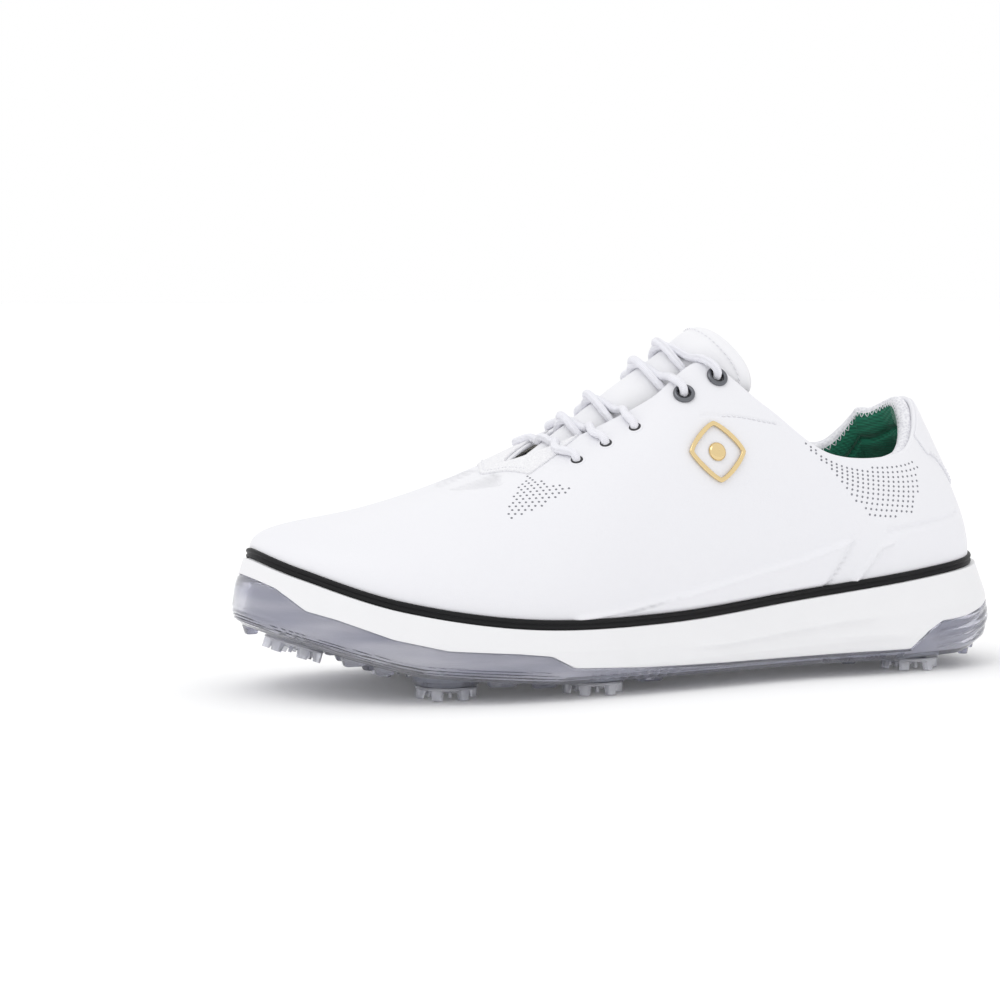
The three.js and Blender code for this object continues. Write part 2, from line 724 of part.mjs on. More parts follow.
function flareAt(u) {
  const fade = (away) => Math.exp(-((away / flare.reach) ** 2));
  const fromToe = Math.min(u, columns - u);
  const fromHeel = Math.abs(u - columns / 2);
  return 1 + (flare.toe - 1) * fade(fromToe) + (flare.heel - 1) * fade(fromHeel);
}

function wallOut(u, z) {
  const bottom = soleBottom(u, 3);
  return flareAt(u) * ramp(bulge, (z - bottom) / (stripeBottom(u) - bottom));
}

// A solid whose section runs up one side of the shoe, across, and down the other.
function acrossShoe(profileAt) {
  const sections = soleSteps.map((u) => [...profileAt(u), ...profileAt(mirrorColumn(u)).reverse()]);
  return loft(sections);
}

function outsoleProfile(u) {
  const [low, rim] = [soleBottom(u, 3), randTop(u)];
  const middle = (low + rim) / 2 + 0.6;
  const [foot, side] = [flareAt(u) * bulge[0][1], flareAt(u) * bulge[1][1]];
  return [
    solePoint(u, foot, soleBottom(u, foot)),
    solePoint(u, side, low + 1.5),
    solePoint(u, wallOut(u, middle), middle),
    solePoint(u, wallOut(u, rim), rim),
    solePoint(u, wallOut(u, rim) - randThickness, rim),
    solePoint(u, side - randThickness - 0.2, low + floorThickness),
  ];
}

function midsoleProfile(u) {
  const [floor, rim, top] = [soleBottom(u, 3) + floorThickness + gap, randTop(u) + gap, midsoleTop(u)];
  const middle = (rim + top) / 2;
  const high = top - (top - rim) * 0.18;
  return [
    solePoint(u, flareAt(u) * bulge[1][1] - randThickness - 0.2 - recess, floor),
    solePoint(u, wallOut(u, rim) - randThickness - recess, rim),
    solePoint(u, wallOut(u, rim), rim),
    solePoint(u, wallOut(u, middle), middle),
    solePoint(u, wallOut(u, high), high),
    solePoint(u, wallOut(u, top), top),
  ];
}

const boardInset = stripe.under + gap + boardClearance;

// A flat layer inside the shoe, between two heights over the feather edge.
function insideProfile(inset, low, high) {
  return (u) => {
    const edge = around(feather, u).z;
    return [solePoint(u, -inset, edge + low), solePoint(u, -inset, edge + high)];
  };
}

function shankSolid(clearance) {
  const steps = spaced(shank.from - clearance, shank.to + clearance, 8);
  const sections = steps.map((x) => {
    const low = height(ramp(bottomForm, x)) + floorThickness + gap - clearance;
    const high = low + shankThickness + 2 * clearance;
    const half = shank.halfWidth + clearance;
    return [[-half, low], [half, low], [half, high], [-half, high]].map(
      ([y, z]) => new THREE.Vector3(x * fit.x, y * fit.y, z),
    );
  });
  return loft(sections);
}

function addStripe() {
  const sections = spaced(0, columns, 3 * columns).slice(0, -1).map((u) => {
    const [low, high] = [stripeBottom(u), stripeTop(u)];
    return [
      solePoint(u, -stripe.under, low), solePoint(u, stripe.proud - stripe.round, low),
      solePoint(u, stripe.proud, (low + high) / 2), solePoint(u, stripe.proud - stripe.round, high),
      solePoint(u, -stripe.under, high),
    ];
  });
  add("sole_stripe", "black", loft(sections, true));
}

// ---- Cleats ----

const studBore = cleat.studRadius + socket.boreClearance;
const socketRadius = studBore + socket.wall;
const socketFlange = socketRadius + socket.flangeWidth;
const socketTop = socket.seat + socket.flangeThickness;
const studSeat = cleat.studHeight + gap;
const bossRadius = cleat.discRadius + bossWidth;

// Each cleat stands on the ground at z = 0, except at the toe, where it follows the sole's spring.
function cleatFrames() {
  return cleatForm.map(([x, y], i) => {
    const reach = 8;
    const rise = height(ramp(bottomForm, x + reach)) - height(ramp(bottomForm, x - reach));
    const tilt = i === 0 ? -Math.atan(rise / (2 * reach * fit.x)) : 0;
    const z = i === 0 ? height(ramp(bottomForm, x)) - gap : standHeight;
    const seat = new THREE.Group();
    seat.position.set(x * fit.x, y * fit.y, z);
    seat.rotation.y = tilt;
    seat.updateMatrix();
    return seat;
  });
}

function inFrame(frame, profile, sides) {
  return solid(turned(profile, sides).applyMatrix4(frame.matrix));
}

function cleatSolid() {
  const top = -gap;
  const base = -cleat.discThickness;
  const body = solid(turned([
    [0, base], [cleat.discRadius - cleat.faceInset, base], [cleat.discRadius, base + cleat.rimBevel],
    [cleat.discRadius, top], [cleat.studRadius, top], [cleat.studRadius, cleat.studHeight],
    [0, cleat.studHeight],
  ]));
  const tall = leg.height + leg.buried;
  return spaced(0, 2 * Math.PI, leg.count).slice(1).reduce((made, angle) => {
    const shape = new THREE.CylinderGeometry(leg.root, leg.tip, tall, 4).rotateX(Math.PI / 2);
    shape.translate(0, 0, -tall / 2);
    shape.applyMatrix4(new THREE.Matrix4().makeShear(0, 0, 0, 0, -leg.lean, 0));
    shape.translate(leg.circle, 0, base + leg.buried).rotateZ(angle + Math.PI / leg.count);
    return made.add(solid(shape));
  }, body);
}

function socketSolid() {
  return solid(turned([
    [studBore, 0], [socketRadius, 0], [socketRadius, socket.seat], [socketFlange, socket.seat],
    [socketFlange, socketTop], [socketRadius - 0.8, studSeat + socket.crown],
    [0, studSeat + socket.crown], [0, studSeat], [studBore, studSeat], [studBore, 0],
  ]));
}

// The rubber boss round a socket, the hole through it and the pocket above it.
function bossOf(frame) {
  return inFrame(frame, rod(bossRadius, 0, socketTop), bossSides);
}

function cutForSocket(made, frame) {
  const through = inFrame(frame, rod(socketRadius + gap, -6, socketTop + 2));
  const above = inFrame(frame, rod(socketFlange + gap, socket.seat - gap, 14));
  return made.subtract(through).subtract(above);
}

function pocketInMidsole(made, frame) {
  const ring = inFrame(frame, rod(bossRadius + gap, -8, socketTop + gap), bossSides);
  const crown = inFrame(frame, rod(socketFlange + gap, 0, studSeat + socket.crown + gap));
  return made.subtract(ring).subtract(crown);
}

function lugsOn(made) {
  return lugForm.reduce((left, [x, y, radius]) => {
    const top = height(ramp(bottomForm, x)) + 1;
    const tall = lug.height + 1;
    const shape = new THREE.CylinderGeometry(radius, radius * lug.taper, tall, lug.sides);
    shape.rotateX(Math.PI / 2).translate(x * fit.x, y * fit.y, top - tall / 2);
    return left.add(solid(shape));
  }, made);
}

function addSole() {
  const frames = cleatFrames();
  let outsole = lugsOn(acrossShoe(outsoleProfile));
  let midsole = acrossShoe(midsoleProfile).subtract(shankSolid(gap));
  for (const frame of frames) {
    outsole = cutForSocket(outsole.add(bossOf(frame)), frame);
    midsole = pocketInMidsole(midsole, frame);
  }
  add("outsole", "clear", outsole);
  add("midsole", "eva", midsole);
  add("shank", "plate", shankSolid(0));
  addStripe();
  const boardLow = -gap - stripe.height;
  const board = insideProfile(boardInset, boardLow, boardLow + boardThickness);
  add("insole_board", "board", acrossShoe(board));
  const cushionLow = boardLow + boardThickness + gap;
  const cushion = insideProfile(socklinerInset, cushionLow, cushionLow + socklinerThickness);
  add("sockliner", "mesh", acrossShoe(cushion));
  frames.forEach((frame, i) => {
    shoe.add(frame);
    add(`cleat_${i + 1}`, "cleatClear", cleatSolid(), frame);
    add(`cleat_socket_${i + 1}`, "nylon", socketSolid(), frame);
  });
}

addUpper();
addFacings();
addLinings();
addCollar();
addTrim();
addBadge();
addEyelets();
addTongue();
addLace();
addSole();

// The origin is on the ground, under the middle of the whole shoe.
const box = new THREE.Box3().setFromObject(shoe);
shoe.position.set(-(box.min.x + box.max.x) / 2, -(box.min.y + box.max.y) / 2, -box.min.z);

export default shoe;
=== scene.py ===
import math
import bpy
import numpy as np
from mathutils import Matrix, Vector


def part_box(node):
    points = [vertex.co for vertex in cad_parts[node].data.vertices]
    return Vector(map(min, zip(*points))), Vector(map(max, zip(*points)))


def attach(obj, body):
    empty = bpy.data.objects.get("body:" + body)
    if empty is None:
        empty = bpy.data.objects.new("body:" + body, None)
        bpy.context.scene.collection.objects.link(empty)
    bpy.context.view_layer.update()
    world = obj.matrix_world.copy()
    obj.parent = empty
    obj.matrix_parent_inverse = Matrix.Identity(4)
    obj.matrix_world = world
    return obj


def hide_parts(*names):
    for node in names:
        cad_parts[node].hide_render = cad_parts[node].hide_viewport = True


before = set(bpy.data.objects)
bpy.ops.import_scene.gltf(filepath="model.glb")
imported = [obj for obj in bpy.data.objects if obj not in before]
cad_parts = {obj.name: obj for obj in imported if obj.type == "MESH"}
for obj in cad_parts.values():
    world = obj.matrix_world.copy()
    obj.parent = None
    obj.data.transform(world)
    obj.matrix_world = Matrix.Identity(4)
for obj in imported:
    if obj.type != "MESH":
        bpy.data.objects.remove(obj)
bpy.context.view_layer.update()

scene = bpy.context.scene
print("golf shoe: frame loaded,", len(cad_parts), "nodes")

# camera
cameraLook = {"place": (-447.4, -1004.9, 155.6), "heading": 21.449, "pitch": 4.539, "lens": 101.58}

# millimetres of the last to metres of the frame
cleatPlaces = [(-136, -3), (-87, -33), (-82, 32), (-31, -40), (-25, 26.5), (113, -24.5), (113, 24.5)]
heelLow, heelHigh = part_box("cleat_7")
moveX = (heelLow.x + heelHigh.x) * 500 - cleatPlaces[6][0]
moveY = (heelLow.y + heelHigh.y) * 500 - cleatPlaces[6][1]
shift = np.array([moveX, moveY, 0.0])


def toFrame(points):
    return (np.asarray(points, float) + shift) / 1000


cameraData = bpy.data.cameras.new("camera")
cameraData.lens = cameraLook["lens"]
cameraData.sensor_width = 36
cameraData.clip_end = 20
camera = bpy.data.objects.new("camera", cameraData)
scene.collection.objects.link(camera)
camera.location = toFrame(cameraLook["place"])
camera.rotation_euler = (
    math.radians(90 - cameraLook["pitch"]), 0, math.radians(-cameraLook["heading"])
)
scene.camera = camera

# the last: sixteen points round the shoe for each line, toe tip first, outer side next
featherLine = np.array([
    (-150, 4, 54), (-139.5, -22.5, 48.5), (-107.5, -45.5, 37.3), (-59.4, -54.5, 29.8),
    (-2, -47, 29.2), (55, -37.5, 34), (104, -35.8, 39.3), (136, -27, 43.3),
    (148.5, 1, 44.5), (136, 28, 43.3), (104, 35.8, 39.3), (55, 31, 34),
    (-2, 34.5, 30), (-59.4, 49.5, 30.5), (-107.5, 45, 37.5), (-139.5, 28, 49)], float)
wallLine = np.array([
    (-150, 4, 70), (-143, -25, 64), (-111, -51, 56), (-60, -61, 54),
    (-2, -54, 58), (55, -43.5, 58), (104, -41, 60), (135, -31, 62),
    (147, 1, 66), (135, 31, 62), (104, 41, 60), (55, 37, 58),
    (-2, 41, 60), (-60, 55, 55), (-111, 51, 56), (-143, 30, 64)], float)
shoulderLine = np.array([
    (-98, 2, 60), (-93, -17, 62), (-70, -31, 70), (-32, -40, 82),
    (12, -40, 98), (50, -40, 88), (84, -40, 76), (117, -32, 76),
    (134, 0, 88), (117, 32, 76), (84, 40, 76), (50, 38, 88),
    (12, 37, 98), (-32, 36, 84), (-70, 30, 71), (-93, 20, 62)], float)
toplineLine = np.array([
    (-49, 0, 85), (-38, -11, 90), (-20, -15.5, 98), (2, -18, 109),
    (24, -19, 123), (46, -29, 106), (72, -35, 87), (108, -28, 87.5),
    (125, 0, 107), (109, 27, 95), (73, 34.5, 88), (46, 29, 106),
    (24, 19, 123), (2, 18, 109), (-20, 15.5, 98), (-38, 11, 90)], float)
columns = 16


def spline(a, b, c, d, f):
    # the smooth curve from b to c between their neighbours a and d
    return 0.5 * (2 * b + (c - a) * f + (2 * a - 5 * b + 4 * c - d) * f ** 2
                  + (3 * b - a - 3 * c + d) * f ** 3)


def lengthAlong(points):
    return np.concatenate([[0], np.cumsum(np.linalg.norm(np.diff(points, axis=0), axis=1))])


def alongRing(line, u):
    u = np.asarray(u, float)
    first = np.floor(u).astype(int)
    f = (u - first)[..., None]
    return spline(*(line[(first + k) % columns] for k in (-1, 0, 1, 2)), f)


# the collar's inner side dips and then steps up to the heel
toplineSteps = [{"at": 9.25, "wide": 0.22, "high": -4.5}, {"at": 8.78, "wide": 0.15, "high": 3.5}]


def toplinePoint(u):
    line = alongRing(toplineLine, u)
    line[..., 2] += sum(step["high"] * np.exp(-((u % columns - step["at"]) / step["wide"]) ** 2)
                        for step in toplineSteps)
    return line


def upperPoint(u, v):
    u, v = np.broadcast_arrays(np.asarray(u, float), np.asarray(v, float))
    v = v[..., None]
    w = 1 - v
    return (alongRing(featherLine, u) * w ** 3 + 3 * v * w * w * alongRing(wallLine, u)
            + 3 * v * v * w * alongRing(shoulderLine, u) + v ** 3 * toplinePoint(u))


def unit(a):
    return a / np.maximum(np.linalg.norm(a, axis=-1, keepdims=True), 1e-9)


def upperNormal(u, v):
    e = 0.01
    v = np.asarray(v, float)
    across = upperPoint(u + e, v) - upperPoint(u - e, v)
    up = upperPoint(u, np.minimum(v + e, 1)) - upperPoint(u, np.maximum(v - e, 0))
    return unit(np.cross(across, up))


def under(u, v, depth):
    return upperPoint(u, v) - upperNormal(u, v) * np.asarray(depth, float)[..., None]


# places along the outer side and their mirror places on the inner side
def outer(u):
    return np.asarray(u, float)


def inner(u):
    return columns - np.asarray(u, float)


def ramp(table, x):
    table = np.asarray(table, float)
    return np.interp(x, table[:, 0], table[:, 1])


def smooth(a, b, x):
    t = np.clip((x - a) / (b - a), 0, 1)
    return t * t * (3 - 2 * t)


# mesh making
def gridFaces(rows, cols, closeRows, closeCols):
    faces = []
    for i in range(rows if closeRows else rows - 1):
        for j in range(cols if closeCols else cols - 1):
            i2, j2 = (i + 1) % rows, (j + 1) % cols
            faces.append((i * cols + j, i * cols + j2, i2 * cols + j2, i2 * cols + j))
    return faces


def edgeSteps(rows, cols):
    # how many cells each point of a grid lies from its nearest edge
    down, across = np.arange(rows), np.arange(cols)
    return np.minimum.outer(np.minimum(down, rows - 1 - down), np.minimum(across, cols - 1 - across))


def signedVolume(mesh):
    mesh.calc_loop_triangles()
    points = np.empty(len(mesh.vertices) * 3)
    mesh.vertices.foreach_get("co", points)
    points = points.reshape(-1, 3)
    points = points - points.mean(0)
    corners = np.empty(len(mesh.loop_triangles) * 3, np.int32)
    mesh.loop_triangles.foreach_get("vertices", corners)
    a, b, c = (points[corners[k::3]] for k in range(3))
    return np.einsum("ij,ij->i", a, np.cross(b, c)).sum()


def makePiece(name, points, faces, material, body="shoe", stands=(), slot=None, sharp=None):
    mesh = bpy.data.meshes.new(name)
    mesh.from_pydata(toFrame(points).tolist(), [], faces)
    mesh.validate()
    mesh.update()
    if signedVolume(mesh) < 0:
        mesh.flip_normals()
    mesh.shade_smooth()
    if sharp is not None:
        mesh.set_sharp_from_angle(angle=math.radians(sharp))
    for one in (material if isinstance(material, (list, tuple)) else [material]):
        mesh.materials.append(one)
    piece = bpy.data.objects.new(name, mesh)
    scene.collection.objects.link(piece)
    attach(piece, body)
    if stands:
        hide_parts(*stands)
    return piece


def gridPiece(name, grid, material, closeRows=False, closeCols=True, caps=True, **more):
    rows, cols = grid.shape[:2]
    points = grid.reshape(-1, 3)
    faces = gridFaces(rows, cols, closeRows, closeCols)
    if caps and not closeRows:
        faces.append(tuple(range(cols))[::-1])
        faces.append(tuple((rows - 1) * cols + j for j in range(cols)))
    return makePiece(name, points, faces, material, **more)


def setUv(piece, grid):
    # grid holds the two texture lengths in metres for each vertex
    layer = piece.data.uv_layers.new(name="lay")
    index = np.empty(len(piece.data.loops), np.int32)
    piece.data.loops.foreach_get("vertex_index", index)
    layer.data.foreach_set("uv", grid.reshape(-1, 2)[index].astype(np.float32).ravel())


# materials
def newMaterial(name, look):
    material = bpy.data.materials.new(name)
    material.use_nodes = True
    nodes, links = material.node_tree.nodes, material.node_tree.links
    shader = nodes["Principled BSDF"]
    for key, value in look.items():
        shader.inputs[key].default_value = value
    return material, nodes, links, shader


def objectPoints(nodes, links, scale=(1, 1, 1), uv=False):
    place = nodes.new("ShaderNodeTexCoord")
    mapping = nodes.new("ShaderNodeMapping")
    mapping.inputs["Scale"].default_value = scale
    links.new(place.outputs["UV" if uv else "Object"], mapping.inputs["Vector"])
    return mapping.outputs["Vector"]


def noise(nodes, links, points, scale, detail=3, rough=0.5):
    node = nodes.new("ShaderNodeTexNoise")
    node.inputs["Scale"].default_value = scale
    node.inputs["Detail"].default_value = detail
    node.inputs["Roughness"].default_value = rough
    links.new(points, node.inputs["Vector"])
    return node.outputs["Fac"]


def cells(nodes, links, points, scale, feature="F1"):
    node = nodes.new("ShaderNodeTexVoronoi")
    node.feature = feature
    node.inputs["Scale"].default_value = scale
    links.new(points, node.inputs["Vector"])
    return node.outputs["Distance"]


def colourMix(nodes, links, factor, low, high):
    ramp = nodes.new("ShaderNodeValToRGB")
    ramp.color_ramp.elements[0].color = (*low, 1)
    ramp.color_ramp.elements[1].color = (*high, 1)
    links.new(factor, ramp.inputs["Fac"])
    return ramp.outputs["Color"]


def between(nodes, links, factor, low, high):
    node = nodes.new("ShaderNodeMapRange")
    node.inputs["To Min"].default_value = low
    node.inputs["To Max"].default_value = high
    links.new(factor, node.inputs["Value"])
    return node.outputs["Result"]


def maths(nodes, links, kind, a, b):
    node = nodes.new("ShaderNodeMath")
    node.operation = kind
    for socket, value in zip(node.inputs, (a, b)):
        if isinstance(value, (int, float)):
            socket.default_value = value
        else:
            links.new(value, socket)
    return node.outputs["Value"]


def addBump(nodes, links, shader, height, strength, distance):
    bump = nodes.new("ShaderNodeBump")
    bump.inputs["Strength"].default_value = strength
    bump.inputs["Distance"].default_value = distance
    links.new(height, bump.inputs["Height"])
    links.new(bump.outputs["Normal"], shader.inputs["Normal"])


def makeLeather(name, light, dark, grain, rough):
    material, nodes, links, shader = newMaterial(name, {
        "Specular IOR Level": 0.45, "Sheen Weight": 0.08})
    points = objectPoints(nodes, links)
    patch = noise(nodes, links, points, 18, 4)
    links.new(colourMix(nodes, links, patch, dark, light), shader.inputs["Base Color"])
    pores = cells(nodes, links, points, grain)
    fine = noise(nodes, links, points, grain * 1.7, 2)
    links.new(between(nodes, links, patch, rough - 0.05, rough + 0.06), shader.inputs["Roughness"])
    addBump(nodes, links, shader, maths(nodes, links, "ADD", pores, fine), 0.22, 0.00012)
    return material


def makeKnit(name, light, dark, pitch, rough=0.85, bump=0.8, uv=False):
    # two crossing sets of threads
    material, nodes, links, shader = newMaterial(name, {"Sheen Weight": 0.35, "Sheen Roughness": 0.5,
                                                        "Specular IOR Level": 0.25})
    points = objectPoints(nodes, links, uv=uv)
    split = nodes.new("ShaderNodeSeparateXYZ")
    links.new(points, split.inputs["Vector"])
    turn = 2 * math.pi / pitch
    if uv:
        a, b = split.outputs["X"], split.outputs["Y"]
    else:
        a = maths(nodes, links, "ADD", split.outputs["X"], split.outputs["Y"])
        b = split.outputs["Z"]
    waveA = maths(nodes, links, "SINE", maths(nodes, links, "MULTIPLY", a, turn), 0)
    waveB = maths(nodes, links, "SINE", maths(nodes, links, "MULTIPLY", b, turn), 0)
    weave = maths(nodes, links, "MULTIPLY", waveA, waveB)
    weave = maths(nodes, links, "MULTIPLY_ADD", weave, 0.5)
    weave.node.inputs[2].default_value = 0.5
    patch = noise(nodes, links, points, 40, 4)
    both = maths(nodes, links, "MULTIPLY", weave, between(nodes, links, patch, 0.75, 1.15))
    links.new(colourMix(nodes, links, both, dark, light), shader.inputs["Base Color"])
    links.new(between(nodes, links, patch, rough - 0.06, rough + 0.06), shader.inputs["Roughness"])
    addBump(nodes, links, shader, weave, bump, 0.00025)
    return material


def makeMesh(name, light, dark, grain, rough=0.85):
    # open knitted mesh: small round gaps between the threads
    material, nodes, links, shader = newMaterial(name, {"Sheen Weight": 0.3, "Sheen Roughness": 0.5,
                                                        "Specular IOR Level": 0.25})
    points = objectPoints(nodes, links)
    thread = cells(nodes, links, points, grain)
    patch = noise(nodes, links, points, 50, 4)
    links.new(colourMix(nodes, links, maths(nodes, links, "MULTIPLY", thread, 1.3), dark, light),
              shader.inputs["Base Color"])
    links.new(between(nodes, links, patch, rough - 0.06, rough + 0.06), shader.inputs["Roughness"])
    addBump(nodes, links, shader, thread, 0.6, 0.0003)
    return material


def makePlastic(name, colour, rough, metal=0.0, grain=900, bump=0.08, vary=0.06, extra=None):
    look = {"Metallic": metal}
    look.update(extra or {})
    material, nodes, links, shader = newMaterial(name, look)
    points = objectPoints(nodes, links)
    patch = noise(nodes, links, points, 60, 5)
    low = tuple(max(c * (1 - vary), 0) for c in colour)
    high = tuple(min(c * (1 + vary), 1) for c in colour)
    links.new(colourMix(nodes, links, patch, low, high), shader.inputs["Base Color"])
    links.new(between(nodes, links, patch, rough * 0.8, rough * 1.25), shader.inputs["Roughness"])
    addBump(nodes, links, shader, noise(nodes, links, points, grain, 3), bump, 0.0001)
    return material


def makeClear(name, light, dark, rough, transmission, streaks=(1, 1, 1), bump=0.06):
    material, nodes, links, shader = newMaterial(name, {
        "Transmission Weight": transmission, "IOR": 1.47, "Specular IOR Level": 0.55,
        "Coat Weight": 0.35, "Coat Roughness": 0.06})
    points = objectPoints(nodes, links)
    patch = noise(nodes, links, points, 35, 5)
    # painted highlights and shade: the base colour runs between light and dark streaks (blotches where the
    # stretch is even) that stand in for glassy reflections and shade in the clear rubber
    paintedSheen = between(nodes, links, noise(nodes, links, objectPoints(nodes, links, streaks), 60, 4), -0.6, 1.6)
    links.new(colourMix(nodes, links, paintedSheen, dark, light), shader.inputs["Base Color"])
    links.new(between(nodes, links, patch, rough * 0.7, rough * 1.4), shader.inputs["Roughness"])
    addBump(nodes, links, shader, noise(nodes, links, points, 140, 4), bump, 0.0004)
    return material


leather = makeLeather("whiteLeather", (0.83, 0.83, 0.86), (0.80, 0.80, 0.835), 1900, 0.5)
tongueLeather = makeLeather("tongueLeather", (0.85, 0.85, 0.87), (0.81, 0.81, 0.84), 1500, 0.56)
meshBinding = makeMesh("greyMeshBinding", (0.86, 0.86, 0.89), (0.62, 0.62, 0.67), 900)
tabTextile = makeMesh("tabTextile", (0.86, 0.86, 0.88), (0.74, 0.74, 0.77), 1100)
greenWeave = makeKnit("greenWovenLining", (0.016, 0.215, 0.125), (0.008, 0.12, 0.07), 0.0016, 0.8)
insoleWeave = makeKnit("insoleTextile", (0.72, 0.73, 0.76), (0.48, 0.49, 0.53), 0.0012)
laceBraid = makeKnit("laceBraid", (0.90, 0.90, 0.93), (0.78, 0.78, 0.85), 0.0012, 0.9, 0.5, uv=True)
thread = makePlastic("stitchThread", (0.84, 0.84, 0.87), 0.7, grain=4000, bump=0.4)
blackRubber = makePlastic("blackRubber", (0.007, 0.007, 0.008), 0.5, grain=2600, bump=0.3, vary=0.3,
                          extra={"Specular IOR Level": 0.22})
whiteFoam = makePlastic("whiteMoulding", (0.81, 0.81, 0.825), 0.4, grain=3200, bump=0.12, vary=0.02)
# clear sole: its light streaks are painted glassy highlights and its dark colour is painted shade, deepened
# for the darker waist and arch edge
clearSole = makeClear("clearSole", (0.90, 0.90, 0.95), (0.50, 0.51, 0.63), 0.09, 0.85, (0.22, 0.22, 3.2), 0.3)
clearCleat = makeClear("clearCleat", (0.93, 0.93, 0.97), (0.80, 0.81, 0.89), 0.16, 0.62)
gunmetal = makePlastic("gunmetal", (0.16, 0.165, 0.18), 0.3, 1.0, grain=2400, bump=0.1, vary=0.15)
gold = makePlastic("polishedGold", (0.80, 0.62, 0.33), 0.18, 1.0, grain=1500, bump=0.06, vary=0.08)
# grey for the perforations: painted shade for the dark inside of each punched hole
holeShade = makePlastic("perforation", (0.24, 0.24, 0.27), 0.8, vary=0.15)
holeDark = makePlastic("holeShade", (0.05, 0.05, 0.055), 0.8, vary=0.2)
stiffSheet = makePlastic("stiffenerSheet", (0.72, 0.69, 0.62), 0.6)
foamPad = makePlastic("paddingFoam", (0.82, 0.79, 0.70), 0.95, grain=1200, bump=0.7)
fibreBoard = makePlastic("fibreBoard", (0.72, 0.70, 0.66), 0.9, grain=1800, bump=0.6)
shankPlate = makePlastic("shankPlate", (0.03, 0.03, 0.035), 0.4)
nylonGrey = makePlastic("socketNylon", (0.42, 0.45, 0.5), 0.45)
agletFilm = makePlastic("lacetipFilm", (0.82, 0.82, 0.85), 0.15, extra={"Coat Weight": 0.6})
print("materials made")

# how a frame node's name starts gives its material; all other nodes are padding
nodeLooks = {
    "eyestay": stiffSheet, "toe_puff": stiffSheet, "heel_counter": stiffSheet, "eyelet": gunmetal,
    "aglet": agletFilm, "cleat_socket": nylonGrey, "shank": shankPlate, "insole_board": fibreBoard,
}
for name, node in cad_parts.items():
    node.data.materials.clear()
    node.data.materials.append(next(
        (look for start, look in nodeLooks.items() if name.startswith(start)), foamPad))


# distances on the leather for creases, panels and rows of holes
def segmentDistance(points, line):
    flat = points.reshape(-1, 3)
    best = np.full(len(flat), 1e9)
    for a, b in zip(line[:-1], line[1:]):
        run = b - a
        t = np.clip(((flat - a) @ run) / max(run @ run, 1e-9), 0, 1)
        best = np.minimum(best, np.linalg.norm(flat - a - t[:, None] * run, axis=1))
    return best.reshape(points.shape[:-1])


def insideLoop(u, v, loop):
    inside = np.zeros(np.broadcast(u, v).shape, bool)
    for (u0, v0), (u1, v1) in zip(loop, loop[1:] + loop[:1]):
        hit = ((v0 > v) != (v1 > v)) & (u < (u1 - u0) * (v - v0) / (v1 - v0 + 1e-12) + u0)
        inside ^= hit
    return inside


def onLeather(path, side, steps=14):
    dense = []
    for (u0, v0), (u1, v1) in zip(path[:-1], path[1:]):
        for t in np.linspace(0, 1, steps, endpoint=False):
            dense.append((u0 + (u1 - u0) * t, v0 + (v1 - v0) * t))
    dense.append(path[-1])
    dense = np.array(dense)
    return upperPoint(side(dense[:, 0]), dense[:, 1])


# moulded lines of the upper: grooves are below the leather, ridges above it
mouldedLines = [
    {"path": [(4.045, 0.76), (4.295, 0.772), (4.7, 0.83), (5.142, 0.909)], "wide": 0.6, "high": -0.4},
    {"path": [(5.902, 0.296), (6.5, 0.335), (7.101, 0.359)], "wide": 1.1, "high": -0.8},
    {"path": [(3.302, 0.005), (4.209, 0.086), (5.029, 0.166), (5.509, 0.252)], "wide": 1.0, "high": 0.8},
    {"path": [(5.509, 0.252), (5.272, 0.013)], "wide": 1.3, "high": -1.1},
    {"path": [(5.883, 0.212), (5.773, 0.199), (5.518, 0.005)], "wide": 1.0, "high": 1.1},
]
mouldedPanels = [
    {"loop": [(3.302, -0.02), (4.209, 0.086), (5.029, 0.166), (5.509, 0.252), (5.272, -0.02)],
     "soft": 1.3, "high": 1.6},
]
vampGrooves = {"count": 6, "from": 0.35, "to": 1.7, "low": 0.80, "high": 0.885, "wide": 0.55, "deep": 0.55}


def leatherRelief(u, v, points):
    lift = np.zeros(points.shape[:-1])
    for side in (outer, inner):
        uu = side(u)
        near = (uu > 2.9) & (uu < 7.4)
        if not near.any():
            continue
        for line in mouldedLines:
            gap = segmentDistance(points[near], onLeather(line["path"], side, 8))
            lift[near] += line["high"] * np.exp(-(gap / line["wide"]) ** 2)
        for panel in mouldedPanels:
            loop = panel["loop"] + panel["loop"][:1]
            gap = segmentDistance(points[near], onLeather([(a, max(b, 0)) for a, b in loop], side, 6))
            held = insideLoop(uu[near], v[near], panel["loop"])
            signed = np.where(held, gap, -gap)
            risen = smooth(-panel["soft"], panel["soft"], signed) * smooth(0, 0.03, v[near])
            lift[near] += panel["high"] * risen
        lines = np.linspace(vampGrooves["low"], vampGrooves["high"], vampGrooves["count"])
        front = (uu > 0.1) & (uu < 2.0) & (v > 0.74)
        for k, height in enumerate(lines):
            path = [(vampGrooves["from"] + 0.05 * k, height + 0.02),
                    (vampGrooves["to"] - 0.09 * k, height - 0.045)]
            gap = segmentDistance(points[front], onLeather(path, side, 10))
            lift[front] -= vampGrooves["deep"] * np.exp(-(gap / vampGrooves["wide"]) ** 2)
    return lift


